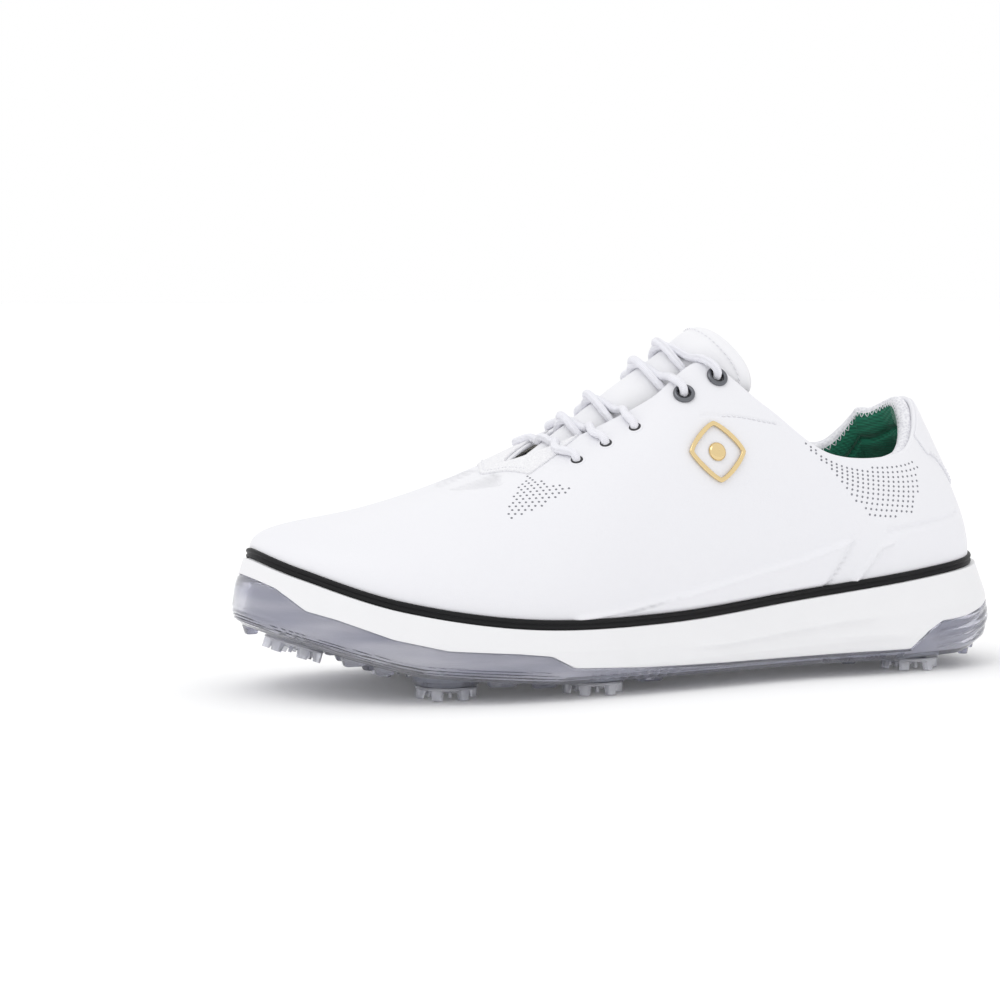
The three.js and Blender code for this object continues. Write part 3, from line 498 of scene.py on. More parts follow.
def makeUpper():
    rows, cols = 140, 16 * 38
    u = np.linspace(0, columns, cols, endpoint=False)
    v = np.linspace(0, 1, rows)
    uu, vv = np.meshgrid(u, v, indexing="ij")
    base = upperPoint(uu, vv)
    normal = upperNormal(uu, vv)
    lift = leatherRelief(uu, vv, base)
    # the topline edge rounds over into the inside
    edge = smooth(0.985, 1.0, vv)
    outside = base + normal * (lift - 0.55 * edge ** 2)[..., None]
    depth = np.array([0.9, 1.6, 2.0, 2.0, 2.0, 2.0])
    down = np.array([1.0, 0.998, 0.99, 0.9, 0.5, 0.02])
    inside = np.stack([under(u, np.full_like(u, b), np.full_like(u, a)) for a, b in zip(depth, down)], axis=1)
    up = unit(upperPoint(u, np.ones_like(u)) - upperPoint(u, np.full_like(u, 0.97)))
    inside[:, 0] += up * 0.35
    grid = np.concatenate([outside, inside], axis=1)
    gridPiece("upperShell", grid, leather, closeRows=True, stands=["upper"], slot="white_leather")


makeUpper()
print("upper made")


def layerPiece(name, span, thickness, depth, material, stands, slot, cell, relief=None):
    uFrom, uTo, vFrom, vTo = span
    length = lengthAlong(upperPoint(np.linspace(uFrom, uTo, 60), (vFrom + vTo) / 2))[-1]
    tall = lengthAlong(upperPoint((uFrom + uTo) / 2, np.linspace(vFrom, vTo, 40)))[-1]
    nu, nv = max(int(length / cell), 4), max(int(tall / cell), 4)
    u = np.linspace(uFrom, uTo, nu + 1)
    v = np.linspace(vFrom, vTo, nv + 1)
    uu, vv = np.meshgrid(u, v, indexing="ij")
    bend = relief(uu, vv) if relief else np.zeros_like(uu)
    # both faces draw together at the edge, so that it is rounded
    margin = edgeSteps(nu + 1, nv + 1)
    draw = np.where(margin == 0, 0.3 * thickness, np.where(margin == 1, 0.08 * thickness, 0))
    front = under(uu, vv, depth + draw - bend)
    back = under(uu, vv, depth + thickness - draw - bend)
    grid = np.concatenate([front, back[:, ::-1]], axis=1)
    gridPiece(name, grid, material, stands=stands, slot=slot)


# perforations: rows at these distances below the topline, inside panels of the leather
collarRows, vampRows = {"rows": (3.2, 46, 2.9), "pitch": 2.4}, {"rows": (10, 84, 2.4), "pitch": 2.4}
perforations = [
    {"sides": (outer,), **collarRows, "loop": [
        (5.42, 0.90), (5.658, 0.68), (5.64, 0.56), (5.789, 0.37), (6.287, 0.42), (7.05, 0.86),
        (6.8, 0.9), (6.092, 0.87)]},
    {"sides": (inner,), **collarRows, "loop": [
        (4.55, 0.86), (4.75, 0.74), (5.64, 0.56), (5.789, 0.37), (6.287, 0.42), (7.05, 0.86),
        (6.8, 0.9), (6.092, 0.87), (5.4, 0.93)]},
    {"sides": (outer, inner), **vampRows, "loop": [(2.02, 0.77), (2.87, 0.62), (2.42, 0.505)]},
]
hole = {"radius": 0.46, "corners": 8, "rim": 0.06, "floor": 0.02, "under": 0.4}


def panelSpots(panel, side):
    places = [place[0] for place in panel["loop"]]
    u = np.linspace(min(places), max(places), 40)
    heights = np.linspace(1, 0.25, 90)
    falls = [lengthAlong(upperPoint(side(one), heights)) for one in u]
    spots = []
    for fall in np.arange(*panel["rows"]):
        v = np.array([np.interp(fall, run, heights) for run in falls])
        run = lengthAlong(upperPoint(side(u), v))
        at = np.interp((u[0] + u[-1]) / 2, u, run) + panel["pitch"] * np.arange(-40, 41)
        at = at[(at > 0) & (at < run[-1])]
        us, vs = np.interp(at, run, u), np.interp(at, run, v)
        keep = insideLoop(us, vs, panel["loop"])
        spots += list(zip(side(us[keep]), vs[keep]))
    return spots


def makePerforations():
    spots = np.array([spot for panel in perforations for side in panel["sides"]
                      for spot in panelSpots(panel, side)])
    centre = upperPoint(spots[:, 0], spots[:, 1])
    normal = upperNormal(spots[:, 0], spots[:, 1])
    along = unit(np.cross(normal, [0, 0, 1.0]))
    other = np.cross(normal, along)
    corners = hole["corners"]
    turns = np.linspace(0, 2 * math.pi, corners, endpoint=False)
    points, faces = [], []
    for c, n, a, b in zip(centre, normal, along, other):
        first = len(points)
        ring = [(a * math.cos(t) + b * math.sin(t)) * hole["radius"] for t in turns]
        points += [c + n * hole["rim"] + spoke for spoke in ring]
        points.append(c + n * hole["floor"])
        points += [c - n * hole["under"] + spoke for spoke in ring]
        low = first + corners + 1
        for k in range(corners):
            j = (k + 1) % corners
            faces.append((first + k, first + j, first + corners))
            faces.append((first + k, low + k, low + j, first + j))
        faces.append(tuple(low + k for k in range(corners))[::-1])
    # each hole is drawn as a grey disc on the leather, its grey painted shade inside the hole
    makePiece("perforations", np.array(points), faces, holeShade, slot="white_leather")
    return len(spots)


print("perforations:", makePerforations())


# smooth closed or open curves through a few points
def throughPoints(points, per=8, closed=False):
    points = np.asarray(points, float)
    count = len(points)
    out = []
    for i in range(count if closed else count - 1):
        if closed:
            a, b, c, d = (points[(i + k) % count] for k in (-1, 0, 1, 2))
        else:
            b, c = points[i], points[i + 1]
            a = points[i - 1] if i > 0 else 2 * b - c
            d = points[i + 2] if i + 2 < count else 2 * c - b
        out += [spline(a, b, c, d, f) for f in np.linspace(0, 1, per, endpoint=False)]
    if not closed:
        out.append(points[-1])
    return np.array(out)


def evenly(points, step):
    run = lengthAlong(points)
    at = np.linspace(0, run[-1], max(int(run[-1] / step), 2) + 1)
    return np.stack([np.interp(at, run, points[:, k]) for k in range(3)], axis=1), run[-1]


def ringsAlong(points):
    along = unit(np.gradient(points, axis=0))
    across = np.zeros_like(points)
    start = np.cross([0, 0, 1.0], along[0])
    across[0] = start / max(np.linalg.norm(start), 1e-9)
    for i in range(1, len(points)):
        a = across[i - 1] - along[i] * (across[i - 1] @ along[i])
        across[i] = a / np.linalg.norm(a)
    return across, np.cross(along, across)


def tubeGrid(points, radius, sides, swell=None):
    across, other = ringsAlong(points)
    turn = np.linspace(0, 2 * math.pi, sides, endpoint=False)
    grow = np.full((len(points), sides), radius) if swell is None else swell(np.arange(len(points)), turn)
    return (points[:, None] + across[:, None] * (np.cos(turn) * grow)[..., None]
            + other[:, None] * (np.sin(turn) * grow)[..., None])


def tubeParts(parts, name, material, **more):
    # several closed tubes joined in one piece
    points, faces, first = [], [], 0
    for grid in parts:
        rows, cols = grid.shape[:2]
        points.append(grid.reshape(-1, 3))
        faces += [tuple(first + k for k in face) for face in gridFaces(rows, cols, False, True)]
        faces.append(tuple(first + j for j in range(cols))[::-1])
        faces.append(tuple(first + (rows - 1) * cols + j for j in range(cols)))
        first += rows * cols
    return makePiece(name, np.concatenate(points), faces, material, **more)


def stitchGrid(a, b, normal, radius=0.24):
    # one stitch: a short thread that dips into the leather at both ends
    t = np.linspace(0, 1, 7)
    line = a + (b - a) * t[:, None] + normal * (np.sin(t * math.pi) * 0.32 - 0.12)[:, None]
    taper = np.array([0.45, 0.85, 1, 1, 1, 0.85, 0.45]) * radius
    return tubeGrid(line, radius, 6, lambda i, turn: np.outer(taper, np.ones(len(turn))))


def stitchRow(points, normals, pitch, share=0.68):
    run = lengthAlong(points)
    at = np.arange(0, run[-1] - pitch, pitch)

    def pick(s, field):
        return np.array([np.interp(s, run, field[:, k]) for k in range(3)])
    return [stitchGrid(pick(s, points), pick(s + pitch * share, points), pick(s, normals)) for s in at]


# linings inside the shoe
def liningRelief(u, v):
    return 0.25 * np.sin(u * 5.1 + 9 * v) * np.sin(v * 17 + u) * smooth(0, 0.1, v)


layerPiece("quarterLining", (3.9, 12.1, 0.05, 0.70), 1.0, 4.1, greenWeave, ["quarter_lining"], "green_lining",
           1.6, liningRelief)
layerPiece("vampLining", (-3.6, 3.6, 0.05, 0.7), 0.8, 3.6, meshBinding, ["vamp_lining"], "grey_mesh", 1.8)
print("linings made")

# padded collar: section as fall below the topline and depth under the leather
collarShape = {
    "from": 5.2, "to": 10.8, "stations": 300, "binding": 2.2,
    "section": [(30, 3.0), (22, 2.3), (12, 2.2), (5, 2.2), (1.2, 2.2), (-0.4, 2.6), (-1.5, 3.7),
                (-1.9, 5.2), (-1.2, 6.9), (1, 8.3), (4, 9.1), (7.5, 9.4), (10, 8.0), (12.5, 9.2),
                (19, 7.6), (25, 5.9), (30, 5.0)],
    "seam": [(0.7, 8.25), (-1.2, 6.9)], "seamStep": 0.032,
}


def collarSwell(u):
    # thin at both ends, full between them
    ends = np.minimum(u - collarShape["from"], collarShape["to"] - u)
    return 0.12 + 0.88 * np.sqrt(smooth(0, 0.55, ends))


def collarPoint(u, section, swell):
    v = np.linspace(1, 0.35, 100)
    line = upperPoint(u, v)
    run = lengthAlong(line)
    fall, depth = section[:, 0], section[:, 1]
    at = np.interp(np.maximum(fall, 0), run, v)
    base = upperPoint(u, at)
    up = unit(line[0] - line[3])
    normal = upperNormal(np.full_like(at, u), at)
    return base + up * np.maximum(-fall, 0)[:, None] * swell - normal * (2.2 + (depth - 2.2) * swell)[:, None]


def makeCollar():
    section = throughPoints(collarShape["section"], 4, True)
    stations = np.linspace(collarShape["from"], collarShape["to"], collarShape["stations"])
    wave = 1 + 0.02 * np.sin(stations * 9) + 0.015 * np.sin(stations * 23 + 1)
    grid = np.stack([collarPoint(u, section, s) for u, s in zip(stations, collarSwell(stations) * wave)])
    pad = gridPiece("collarPad", grid, [meshBinding, greenWeave], stands=["collar_foam", "collar_lining"],
                    slot="grey_mesh")
    middle = (section + np.roll(section, -1, axis=0)) / 2
    lined = (middle[:, 0] > collarShape["binding"]) | ((middle[:, 0] > -0.6) & (middle[:, 1] > 5))
    index = np.concatenate([np.tile(lined, collarShape["stations"] - 1), [0, 0]]).astype(np.int32)
    pad.data.polygons.foreach_set("material_index", index)
    # the zigzag seam that holds the binding to the lining
    marks = np.arange(collarShape["from"] + 0.3, collarShape["to"] - 0.3, collarShape["seamStep"])
    spots = [collarPoint(u, np.array([collarShape["seam"][k % 2]]), s)[0]
             for k, (u, s) in enumerate(zip(marks, collarSwell(marks)))]
    zigzag = [stitchGrid(a, b, -upperNormal(u, 0.9), 0.2) for a, b, u in zip(spots[:-1], spots[1:], marks)]
    tubeParts(zigzag, "collarZigzag", thread, slot="grey_mesh")


makeCollar()
print("collar made")


# tabs and overlays that stand on the leather
def overlayPiece(name, u, low, high, thickness, material, stands, slot, rows=26):
    uu = np.repeat(u[:, None], rows, 1)
    vv = low[:, None] + (high - low)[:, None] * np.linspace(0, 1, rows)
    margin = edgeSteps(len(u), rows)
    lift = np.where(margin == 0, 0.45, np.where(margin == 1, 0.85, 1.0)) * thickness
    front = under(uu, vv, -0.12 - lift)
    back = under(uu, vv, np.full_like(uu, 0.05))
    grid = np.concatenate([front, back[:, ::-1]], axis=1)
    return gridPiece(name, grid, material, stands=stands, slot=slot)


def overlayStitches(name, u, v, lift, pitch):
    points = under(u, v, -lift)
    tubeParts(stitchRow(points, upperNormal(u, v), pitch), name, thread, slot="grey_mesh")


tabShape = {"reach": 2.02, "middle": 0.925, "fall": 0.036, "thick": 0.8}
heelShape = {"middle": 8, "half": 0.7, "low": 0.44, "rise": 0.36, "top": 0.985, "thick": 0.7}


def tabLow(u):
    return tabShape["middle"] - tabShape["fall"] * u ** 2


def heelLowEdge(u):
    side = np.abs(u - heelShape["middle"]) / heelShape["half"]
    return heelShape["low"] + heelShape["rise"] * smooth(0.45, 1.0, side)


def makeTrim():
    reach = tabShape["reach"]
    u = np.linspace(-reach, reach, 90)
    high = 0.992 - 0.10 * smooth(0.86, 1.0, np.abs(u) / reach)
    overlayPiece("throatTab", u, tabLow(u), high, tabShape["thick"], tabTextile, ["throat_tab"], "grey_mesh")
    u = np.linspace(-reach * 0.95, reach * 0.95, 200)
    overlayStitches("throatTabStitches", u, tabLow(u) + 0.012, tabShape["thick"] + 0.12, 2.1)
    u = heelShape["middle"] + np.linspace(-heelShape["half"], heelShape["half"], 110)
    overlayPiece("heelOverlay", u, heelLowEdge(u), np.full_like(u, heelShape["top"]), heelShape["thick"],
                 leather, ["heel_overlay"], "white_leather", 60)
    u = np.linspace(7.36, 8.64, 220)
    overlayStitches("heelOverlayStitches", u, heelLowEdge(u) + 0.018, heelShape["thick"] + 0.12, 2.3)
    # two rows of stitches behind the lace holes
    for name, side in (("Outer", outer), ("Inner", inner)):
        line = throughPoints([(4.3, 0.772, 0), (4.7, 0.83, 0), (5.142, 0.909, 0)], 40)
        overlayStitches("eyestayStitches" + name, side(line[:, 0]), line[:, 1], -0.12, 2.2)


makeTrim()
print("trim made")

# tongue: ridge as x, z, half width and how far its sides drop
tongueForm = np.array([
    (-62, 74.5, 14, 11), (-47, 83, 15, 19), (-30, 95, 15.4, 26), (-6.7, 111.8, 16, 27),
    (12, 124, 17.6, 29), (24, 132.2, 22.5, 32.5), (32, 137.5, 27.5, 37)], float)
tongueRun = lengthAlong(tongueForm[:, :2])
tongueAlong = tongueForm[-1, :2] - tongueForm[1, :2]
tongueAlong = tongueAlong / np.linalg.norm(tongueAlong)
tongueUp = np.array([-tongueAlong[1], 0, tongueAlong[0]])


def tongueSize(s):
    t = np.asarray(s, float) * tongueRun[-1]
    return [np.interp(t, tongueRun, tongueForm[:, k]) for k in range(4)]


def tonguePoint(s, a, depth):
    x, z, half, drop = tongueSize(s)
    a = np.asarray(a, float)
    ridge = np.stack([x, np.zeros_like(x), z], axis=-1) + np.zeros(a.shape + (3,))
    point = ridge - tongueUp * (drop * (1 - np.cos(a)))[..., None]
    point[..., 1] = half * np.sin(a)
    normal = tongueUp * (half * np.cos(a))[..., None]
    normal[..., 1] = drop * np.sin(a)
    return point - unit(normal) * np.asarray(depth, float)[..., None]


tongueShape = {"reach": 1.42, "stations": 150, "around": 60, "thick": 7.4, "stitchFall": 5.0, "corner": 0.06}


def makeTongue():
    reach, around = tongueShape["reach"], tongueShape["around"]
    s = np.linspace(0.0, 1.0, tongueShape["stations"])
    grow = 1.6 + (tongueShape["thick"] - 1.6) * smooth(0.12, 0.3, s)
    cap = np.sqrt(np.clip((1.0 - s) / 0.035, 0, 1))
    cap = np.where(s > 0.965, np.maximum(cap, 0.16), 1.0)
    angles = np.linspace(-reach, reach, around)
    side = np.abs(angles) / reach
    thin = np.sqrt(np.clip(1 - side ** 8, 0.03, 1))
    ss, aa = np.meshgrid(s, angles, indexing="ij")
    ss = ss * (1 - tongueShape["corner"] * side ** 6)[None]
    thick = grow[:, None] * cap[:, None] * thin[None]
    middle = grow[:, None] * 0.5
    quilt = 0.35 * np.exp(-((1 - ss) * tongueRun[-1] - 6.5) ** 2 / 0.9) * (ss > 0.8)
    crown = 0.5 * np.sin(np.clip((ss - 0.86) / 0.12, 0, 1) * math.pi)
    front = tonguePoint(ss, aa, middle - thick / 2 + quilt - crown)
    back = tonguePoint(ss, aa, middle + thick / 2)
    grid = np.concatenate([front, back[:, ::-1]], axis=1)
    piece = gridPiece("tonguePad", grid, [tongueLeather, meshBinding], body="tongue",
                      stands=["tongue_shell", "tongue_padding", "tongue_lining"], slot="white_leather")
    # leather in front, mesh at the back and leather on both end faces
    strip = np.repeat([0, 1], around)
    index = np.concatenate([np.tile(strip, tongueShape["stations"] - 1), [0, 0]])
    piece.data.polygons.foreach_set("material_index", index.astype(np.int32))
    a = np.linspace(-1.3, 1.3, 160)
    level = 1 - tongueShape["stitchFall"] / tongueRun[-1]
    level = level * (1 - tongueShape["corner"] * (np.abs(a) / reach) ** 6)
    line = tonguePoint(level, a, np.full_like(a, -0.35))
    tubeParts(stitchRow(line, unit(line - tonguePoint(level, a, np.full_like(a, 3.0))), 2.3),
              "tongueStitches", thread, body="tongue", slot="white_leather")


makeTongue()
print("tongue made")

# lace
laceShape = {"radius": 1.62, "step": 0.45, "sides": 16, "soften": 40, "braid": 0.07, "braidPitch": 3.4}
laceRadius, gap = 1.7, 0.3
punched = laceRadius + 0.7
barrel = punched + 0.5
facingEnd = 3.3
flangeTop = 1.3
barrelEnd = facingEnd + 1 + 0.5 + gap
laceBend = laceRadius + 0.6
overLeather = laceRadius + 0.15
underFacing = facingEnd + gap + laceRadius + 0.15
laceHoles = [
    {"u": 2.576, "v": 0.783, "over": 1.3, "under": 1.78, "metal": False},
    {"u": 2.818, "v": 0.826, "over": 1.98, "under": 2.36, "metal": False},
    {"u": 3.148, "v": 0.845, "over": 2.58, "under": 3.25, "metal": False},
    {"u": 3.782, "v": 0.863, "over": 3.42, "under": 3.68, "metal": True},
    {"u": 4.233, "v": 0.941, "over": 3.98, "under": None, "metal": True},
]
laceTail = [
    (30.5, -21.5, 104), (33, -23.5, 90), (33, -25, 72), (29, -25.5, 53), (19, -25.5, 41.5), (7, -25.5, 37.4),
    (-6, -26.5, 36.2), (-20, -28.5, 36), (-34, -31, 36),
]


def holeFrame(hole, side, edge):
    u = float(side(hole["u"]))
    at, normal = upperPoint(u, hole["v"]), upperNormal(u, hole["v"])
    toward = upperPoint(float(side(edge)), 1.0) - at
    return at, normal, unit(toward - normal * (toward @ normal))


def laceCorner(place, rise, sign):
    at, normal, toward = place
    angles = np.array([0, 0.5, 1]) * math.pi / 2
    return [at + toward * laceBend * (1 - math.cos(a)) + normal * sign * (rise + laceBend * math.sin(a))
            for a in angles]


def laceIn(hole, side):
    top = flangeTop if hole["metal"] else 0
    place = holeFrame(hole, side, hole["over"])
    u = float(side(hole["over"]))
    edge, normal = upperPoint(u, 0.995), upperNormal(u, 0.995)
    toward = edge - place[0]
    toward = unit(toward - normal * (toward @ normal))
    rounded = [edge + (toward * math.sin(a) + normal * math.cos(a)) * overLeather for a in (0.9, 0.2)]
    half = under(float(side((hole["over"] + hole["u"]) / 2)), (1 + hole["v"]) / 2, -overLeather - top)
    return rounded + [half] + laceCorner(place, top, 1)[::-1]


def laceOut(hole, side):
    low = barrelEnd if hole["metal"] else facingEnd
    return laceCorner(holeFrame(hole, side, hole["under"]), low, -1) + [
        under(float(side((hole["under"] + hole["u"]) / 2)), (1 + hole["v"]) / 2, underFacing),
        under(float(side(hole["under"])), 0.995, underFacing)]


def tongueSpot(point):
    run = point[[0, 2]] - tongueForm[1, :2]
    return (tongueRun[1] + run @ tongueAlong) / tongueRun[-1], point[1]


def laceCross(start, end, onTop):
    (s0, y0), (s1, y1) = tongueSpot(start), tongueSpot(end)
    out = []
    for q in (0.2, 0.35, 0.5, 0.65, 0.8):
        s, y = s0 + (s1 - s0) * q, y0 + (y1 - y0) * q
        hump = math.cos(min(abs(q - 0.5) / 0.36, 1) * math.pi / 2) ** 2
        lift = laceRadius + gap + (1.3 * laceRadius * hump if onTop else 0)
        a = math.asin(max(-0.95, min(0.95, y / float(tongueSize(s)[2]))))
        out.append(tonguePoint(s, a, -lift))
    return out


def laceTailPoints(side):
    hole = laceHoles[-1]
    at, normal, toward = holeFrame(hole, side, hole["over"])
    sign = 1 if side is outer else -1
    tail = [np.array([x, y * sign, z]) for x, y, z in laceTail]
    return laceCorner((at, normal, -toward), barrelEnd, -1) + tail


def laceHalf(startsOuter):
    sides = (outer, inner) if startsOuter else (inner, outer)
    points = []
    for k, hole in enumerate(laceHoles):
        side = sides[k % 2]
        entry = laceIn(hole, side)
        if k > 0:
            points += laceCross(points[-1], entry[0], startsOuter == (k % 2 == 1))
        points += entry
        points += laceTailPoints(side) if hole["under"] is None else laceOut(hole, side)
    return points


def makeLace():
    first, second = laceHalf(False)[::-1], laceHalf(True)
    route = np.array(first + laceCross(first[-1], second[0], False) + second)
    line, total = evenly(throughPoints(route, 6), laceShape["step"])
    for _ in range(laceShape["soften"]):
        line[1:-1] = line[1:-1] * 0.5 + (line[:-2] + line[2:]) * 0.25
    pitch = 2 * math.pi * laceShape["step"] / laceShape["braidPitch"]

    def braid(i, turn):
        a = np.cos(4 * turn[None] + pitch * i[:, None])
        b = np.cos(4 * turn[None] - pitch * i[:, None])
        return laceShape["radius"] * (1 + laceShape["braid"] * (np.maximum(a, b) - 0.6))

    grid = tubeGrid(line, laceShape["radius"], laceShape["sides"], braid)
    piece = gridPiece("laceCord", grid, laceBraid, stands=["lace"], slot="white_lace")
    around = 2 * math.pi * laceShape["radius"] / laceShape["sides"]
    i, j = np.meshgrid(np.arange(len(line)) * laceShape["step"] / 1000,
                       np.arange(laceShape["sides"]) * around / 1000, indexing="ij")
    setUv(piece, np.stack([i + j, i - j], axis=-1))
    print("lace length, mm:", round(total))


makeLace()


# round parts set in the leather
def lathe(profile, sides):
    turn = np.linspace(0, 2 * math.pi, sides, endpoint=False)
    profile = np.asarray(profile, float)
    return np.stack([profile[:, 0][None] * np.cos(turn)[:, None], profile[:, 0][None] * np.sin(turn)[:, None],
                     np.repeat(profile[:, 1][None], sides, 0)], axis=-1)


def turnedPiece(name, at, normal, profile, material, sides=48, **more):
    along = unit(np.cross(normal, [0.31, 0.2, 0.93]))
    other = np.cross(normal, along)
    grid = lathe(profile, sides)
    points = at + grid[..., :1] * along + grid[..., 1:2] * other + grid[..., 2:] * normal
    return gridPiece(name, points, material, closeRows=True, closeCols=True, caps=False, **more)


eyeletProfile = throughPoints([
    (punched, -2.4), (punched, 0.4), (2.62, 1.0), (3.05, 1.32), (3.6, 1.25), (4.12, 0.85),
    (4.28, 0.35), (4.1, 0.05), (3.4, 0.02), (barrel, -0.2), (barrel, -2.4)], 4, True)
punchedProfile = throughPoints([
    (2.25, -1.6), (2.3, -0.1), (2.55, 0.16), (2.95, 0.14), (3.2, 0.0), (3.1, -0.6), (2.7, -1.6)], 4, True)
shadeProfile = [(0.02, 0.12), (2.3, 0.12), (2.3, -0.6), (0.02, -0.6)]


def makeEyelets():
    for word, side in (("lateral", outer), ("medial", inner)):
        metal = 0
        for k, hole in enumerate(laceHoles):
            u = float(side(hole["u"]))
            at, normal = upperPoint(u, hole["v"]), upperNormal(u, hole["v"])
            if hole["metal"]:
                metal += 1
                turnedPiece(f"eyeletRing_{word}_{metal}", at, normal, eyeletProfile, gunmetal,
                            stands=[f"eyelet_{word}_{metal}"], slot="gunmetal")
            else:
                turnedPiece(f"punchedEdge_{word}_{k + 1}", at, normal, punchedProfile, leather,
                            slot="white_leather")
            # a near-black disc in each lace hole: painted shade for the dark inside of the hole
            turnedPiece(f"holeShade_{word}_{k + 1}", at, normal, shadeProfile, holeDark, 24, slot="stiffener")


makeEyelets()
print("eyelets made")

# plain ornament on the outer quarter
badge = {"u": 4.251, "v": 0.622, "reach": 12.2, "rim": 1.9, "high": 1.3, "power": 1.3, "stud": 3.6}


def onBadge(a, b, lift):
    u0, v0 = badge["u"], badge["v"]
    centre, normal = upperPoint(u0, v0), upperNormal(u0, v0)
    along = unit(np.array([1.0, 0, 0]) - normal * normal[0])
    up = np.cross(along, normal)
    flat = centre + along * np.asarray(a)[..., None] + up * np.asarray(b)[..., None]
    u, v = np.full(np.shape(a), u0), np.full(np.shape(a), v0)
    for _ in range(14):
        miss = flat - upperPoint(u, v)
        du = (upperPoint(u + 0.01, v) - upperPoint(u - 0.01, v)) * 50
        dv = (upperPoint(u, v + 0.01) - upperPoint(u, v - 0.01)) * 50
        u = u + (miss * du).sum(-1) / (du * du).sum(-1) / 2
        v = v + (miss * dv).sum(-1) / (dv * dv).sum(-1) / 2
    return under(u, v, -np.asarray(lift))


def makeBadge():
    turn = np.linspace(0, 2 * math.pi, 200, endpoint=False)
    pull = np.abs(np.cos(turn)) ** badge["power"] + np.abs(np.sin(turn)) ** badge["power"]
    reach = badge["reach"] / pull ** (1 / badge["power"])
    loop = np.linspace(0, 2 * math.pi, 16, endpoint=False)
    across = badge["rim"] / 2 * np.sign(np.cos(loop)) * np.abs(np.cos(loop)) ** 0.7
    lift = 0.25 + badge["high"] / 2 * (1 + np.sign(np.sin(loop)) * np.abs(np.sin(loop)) ** 0.7)
    r = reach[:, None] - badge["rim"] / 2 + across[None]
    grid = onBadge(r * np.cos(turn)[:, None], r * np.sin(turn)[:, None], np.repeat(lift[None], 200, 0))
    gridPiece("ornamentRing", grid, gold, closeRows=True, stands=["ornament_ring"], slot="gold")
    at, normal = onBadge(np.array(0.0), np.array(0.0), 0.0), upperNormal(badge["u"], badge["v"])
    stud = badge["stud"]
    dome = throughPoints([(0.02, 0.1), (stud * 0.9, 0.1), (stud, 0.6), (stud * 0.72, 1.5), (0.02, 2.0)], 6)
    turnedPiece("ornamentStud", at, normal, dome, gold, 40, stands=["ornament_stud"], slot="gold")


makeBadge()
print("ornament made")

# sole: heights of its bottom and of the clear rand along x, and how far it stands out with height
soleBottomLine = [
    (-157, 27), (-147, 23.4), (-136, 20), (-126, 16.6), (-110, 12), (-102, 10.2), (-85, 8.6),
    (-50, 5.9), (0, 5.6), (55, 5.5), (100, 5.6), (130, 6.2), (147, 9.5), (157, 15)]
outerRand = [
    (-157, 45.6), (-149, 41.4), (-140, 33.7), (-131, 31), (-113, 24.2), (-94, 19.9), (-68, 18.1),
    (-55, 16.6), (-46, 11.9), (-17, 10.2), (21, 9.2), (55, 9), (83, 9.2), (105, 9.5),
    (113, 16.2), (120, 19.8), (132, 21), (142, 23.6), (157, 28.5)]
innerRand = [
    (-157, 45.6), (-150, 42), (-140, 33), (-128, 24), (-115, 18.5), (-100, 14.5), (-90, 12),
    (-17, 10.2), (21, 9.2), (55, 9), (83, 9.2), (105, 9.5), (113, 16.2), (120, 19.8), (132, 21),
    (142, 23.6), (157, 28.5)]
soleBulge = [(0, 2), (0.1, 4.4), (0.3, 5.3), (0.6, 4.4), (0.85, 2.8), (1, 1.8)]
soleFlare = {"toe": 1.3, "heel": 1.85, "reach": 1.1}
stripeShape = {"high": 3.6, "under": 4}
soleGap, floorThick, randThick = 0.3, 2.4, 3.0


def outward(u):
    run = alongRing(featherLine, u + 0.02) - alongRing(featherLine, u - 0.02)
    return unit(np.stack([run[..., 1], -run[..., 0], np.zeros_like(run[..., 0])], axis=-1))


def solePoint(u, out, z):
    u, out, z = np.broadcast_arrays(np.asarray(u, float), np.asarray(out, float), np.asarray(z, float))
    point = alongRing(featherLine, u) + outward(u) * out[..., None]
    point[..., 2] = z
    return point


def soleBottom(u, out):
    return ramp(soleBottomLine, solePoint(u, out, 0)[..., 0])


def randTop(u):
    u = np.asarray(u, float) % columns
    x = solePoint(u, 5, 0)[..., 0]
    return np.where(u < 8, ramp(outerRand, x), ramp(innerRand, x))


def stripeLow(u):
    return alongRing(featherLine, u)[..., 2] - soleGap - 3.0


def flareAt(u):
    around = np.asarray(u, float) % columns
    toe = np.exp(-(np.minimum(around, columns - around) / soleFlare["reach"]) ** 2)
    heel = np.exp(-((around - columns / 2) / soleFlare["reach"]) ** 2)
    return 1 + (soleFlare["toe"] - 1) * toe + (soleFlare["heel"] - 1) * heel


def wallOut(u, z):
    low = soleBottom(u, 3)
    return flareAt(u) * ramp(soleBulge, (z - low) / (stripeLow(u) - low))


def makeStripe():
    u = np.linspace(0, columns, 640, endpoint=False)
    low, high = stripeLow(u) - 0.1, stripeLow(u) + stripeShape["high"]
    h = np.array([0, 0.02, 0.10, 0.22, 0.34, 0.44, 0.50, 0.56, 0.66, 0.78, 0.90, 0.98, 1.0])
    out = np.array([0.5, 0.9, 1.25, 1.38, 1.30, 1.02, 0.82, 1.02, 1.30, 1.38, 1.2, 0.85, 0.4])
    wall = solePoint(u[:, None], out[None], low[:, None] + (high - low)[:, None] * h[None])
    back = np.stack([solePoint(u, -stripeShape["under"], z) for z in (high - 0.1, low + 0.1)], 1)
    gridPiece("soleStripe", np.concatenate([wall, back], axis=1), blackRubber, closeRows=True,
              stands=["sole_stripe"], slot="black_rubber")


makeStripe()


def soleStations(count):
    # closer together at the toe and the heel, where the outline turns
    t = np.linspace(0, 1, count)
    return 8 * (t - 0.9 * np.sin(2 * math.pi * t) / (2 * math.pi))


def acrossGrid(profileAt, count, inside=None):
    # sections from the outer wall across to the inner wall; inside gives the points between them
    u = soleStations(count)
    left, right = profileAt(u), profileAt(columns - u)
    between = [inside(left[:, -1], right[:, -1])] if inside else []
    return np.concatenate([left, *between, right[:, ::-1]], axis=1)


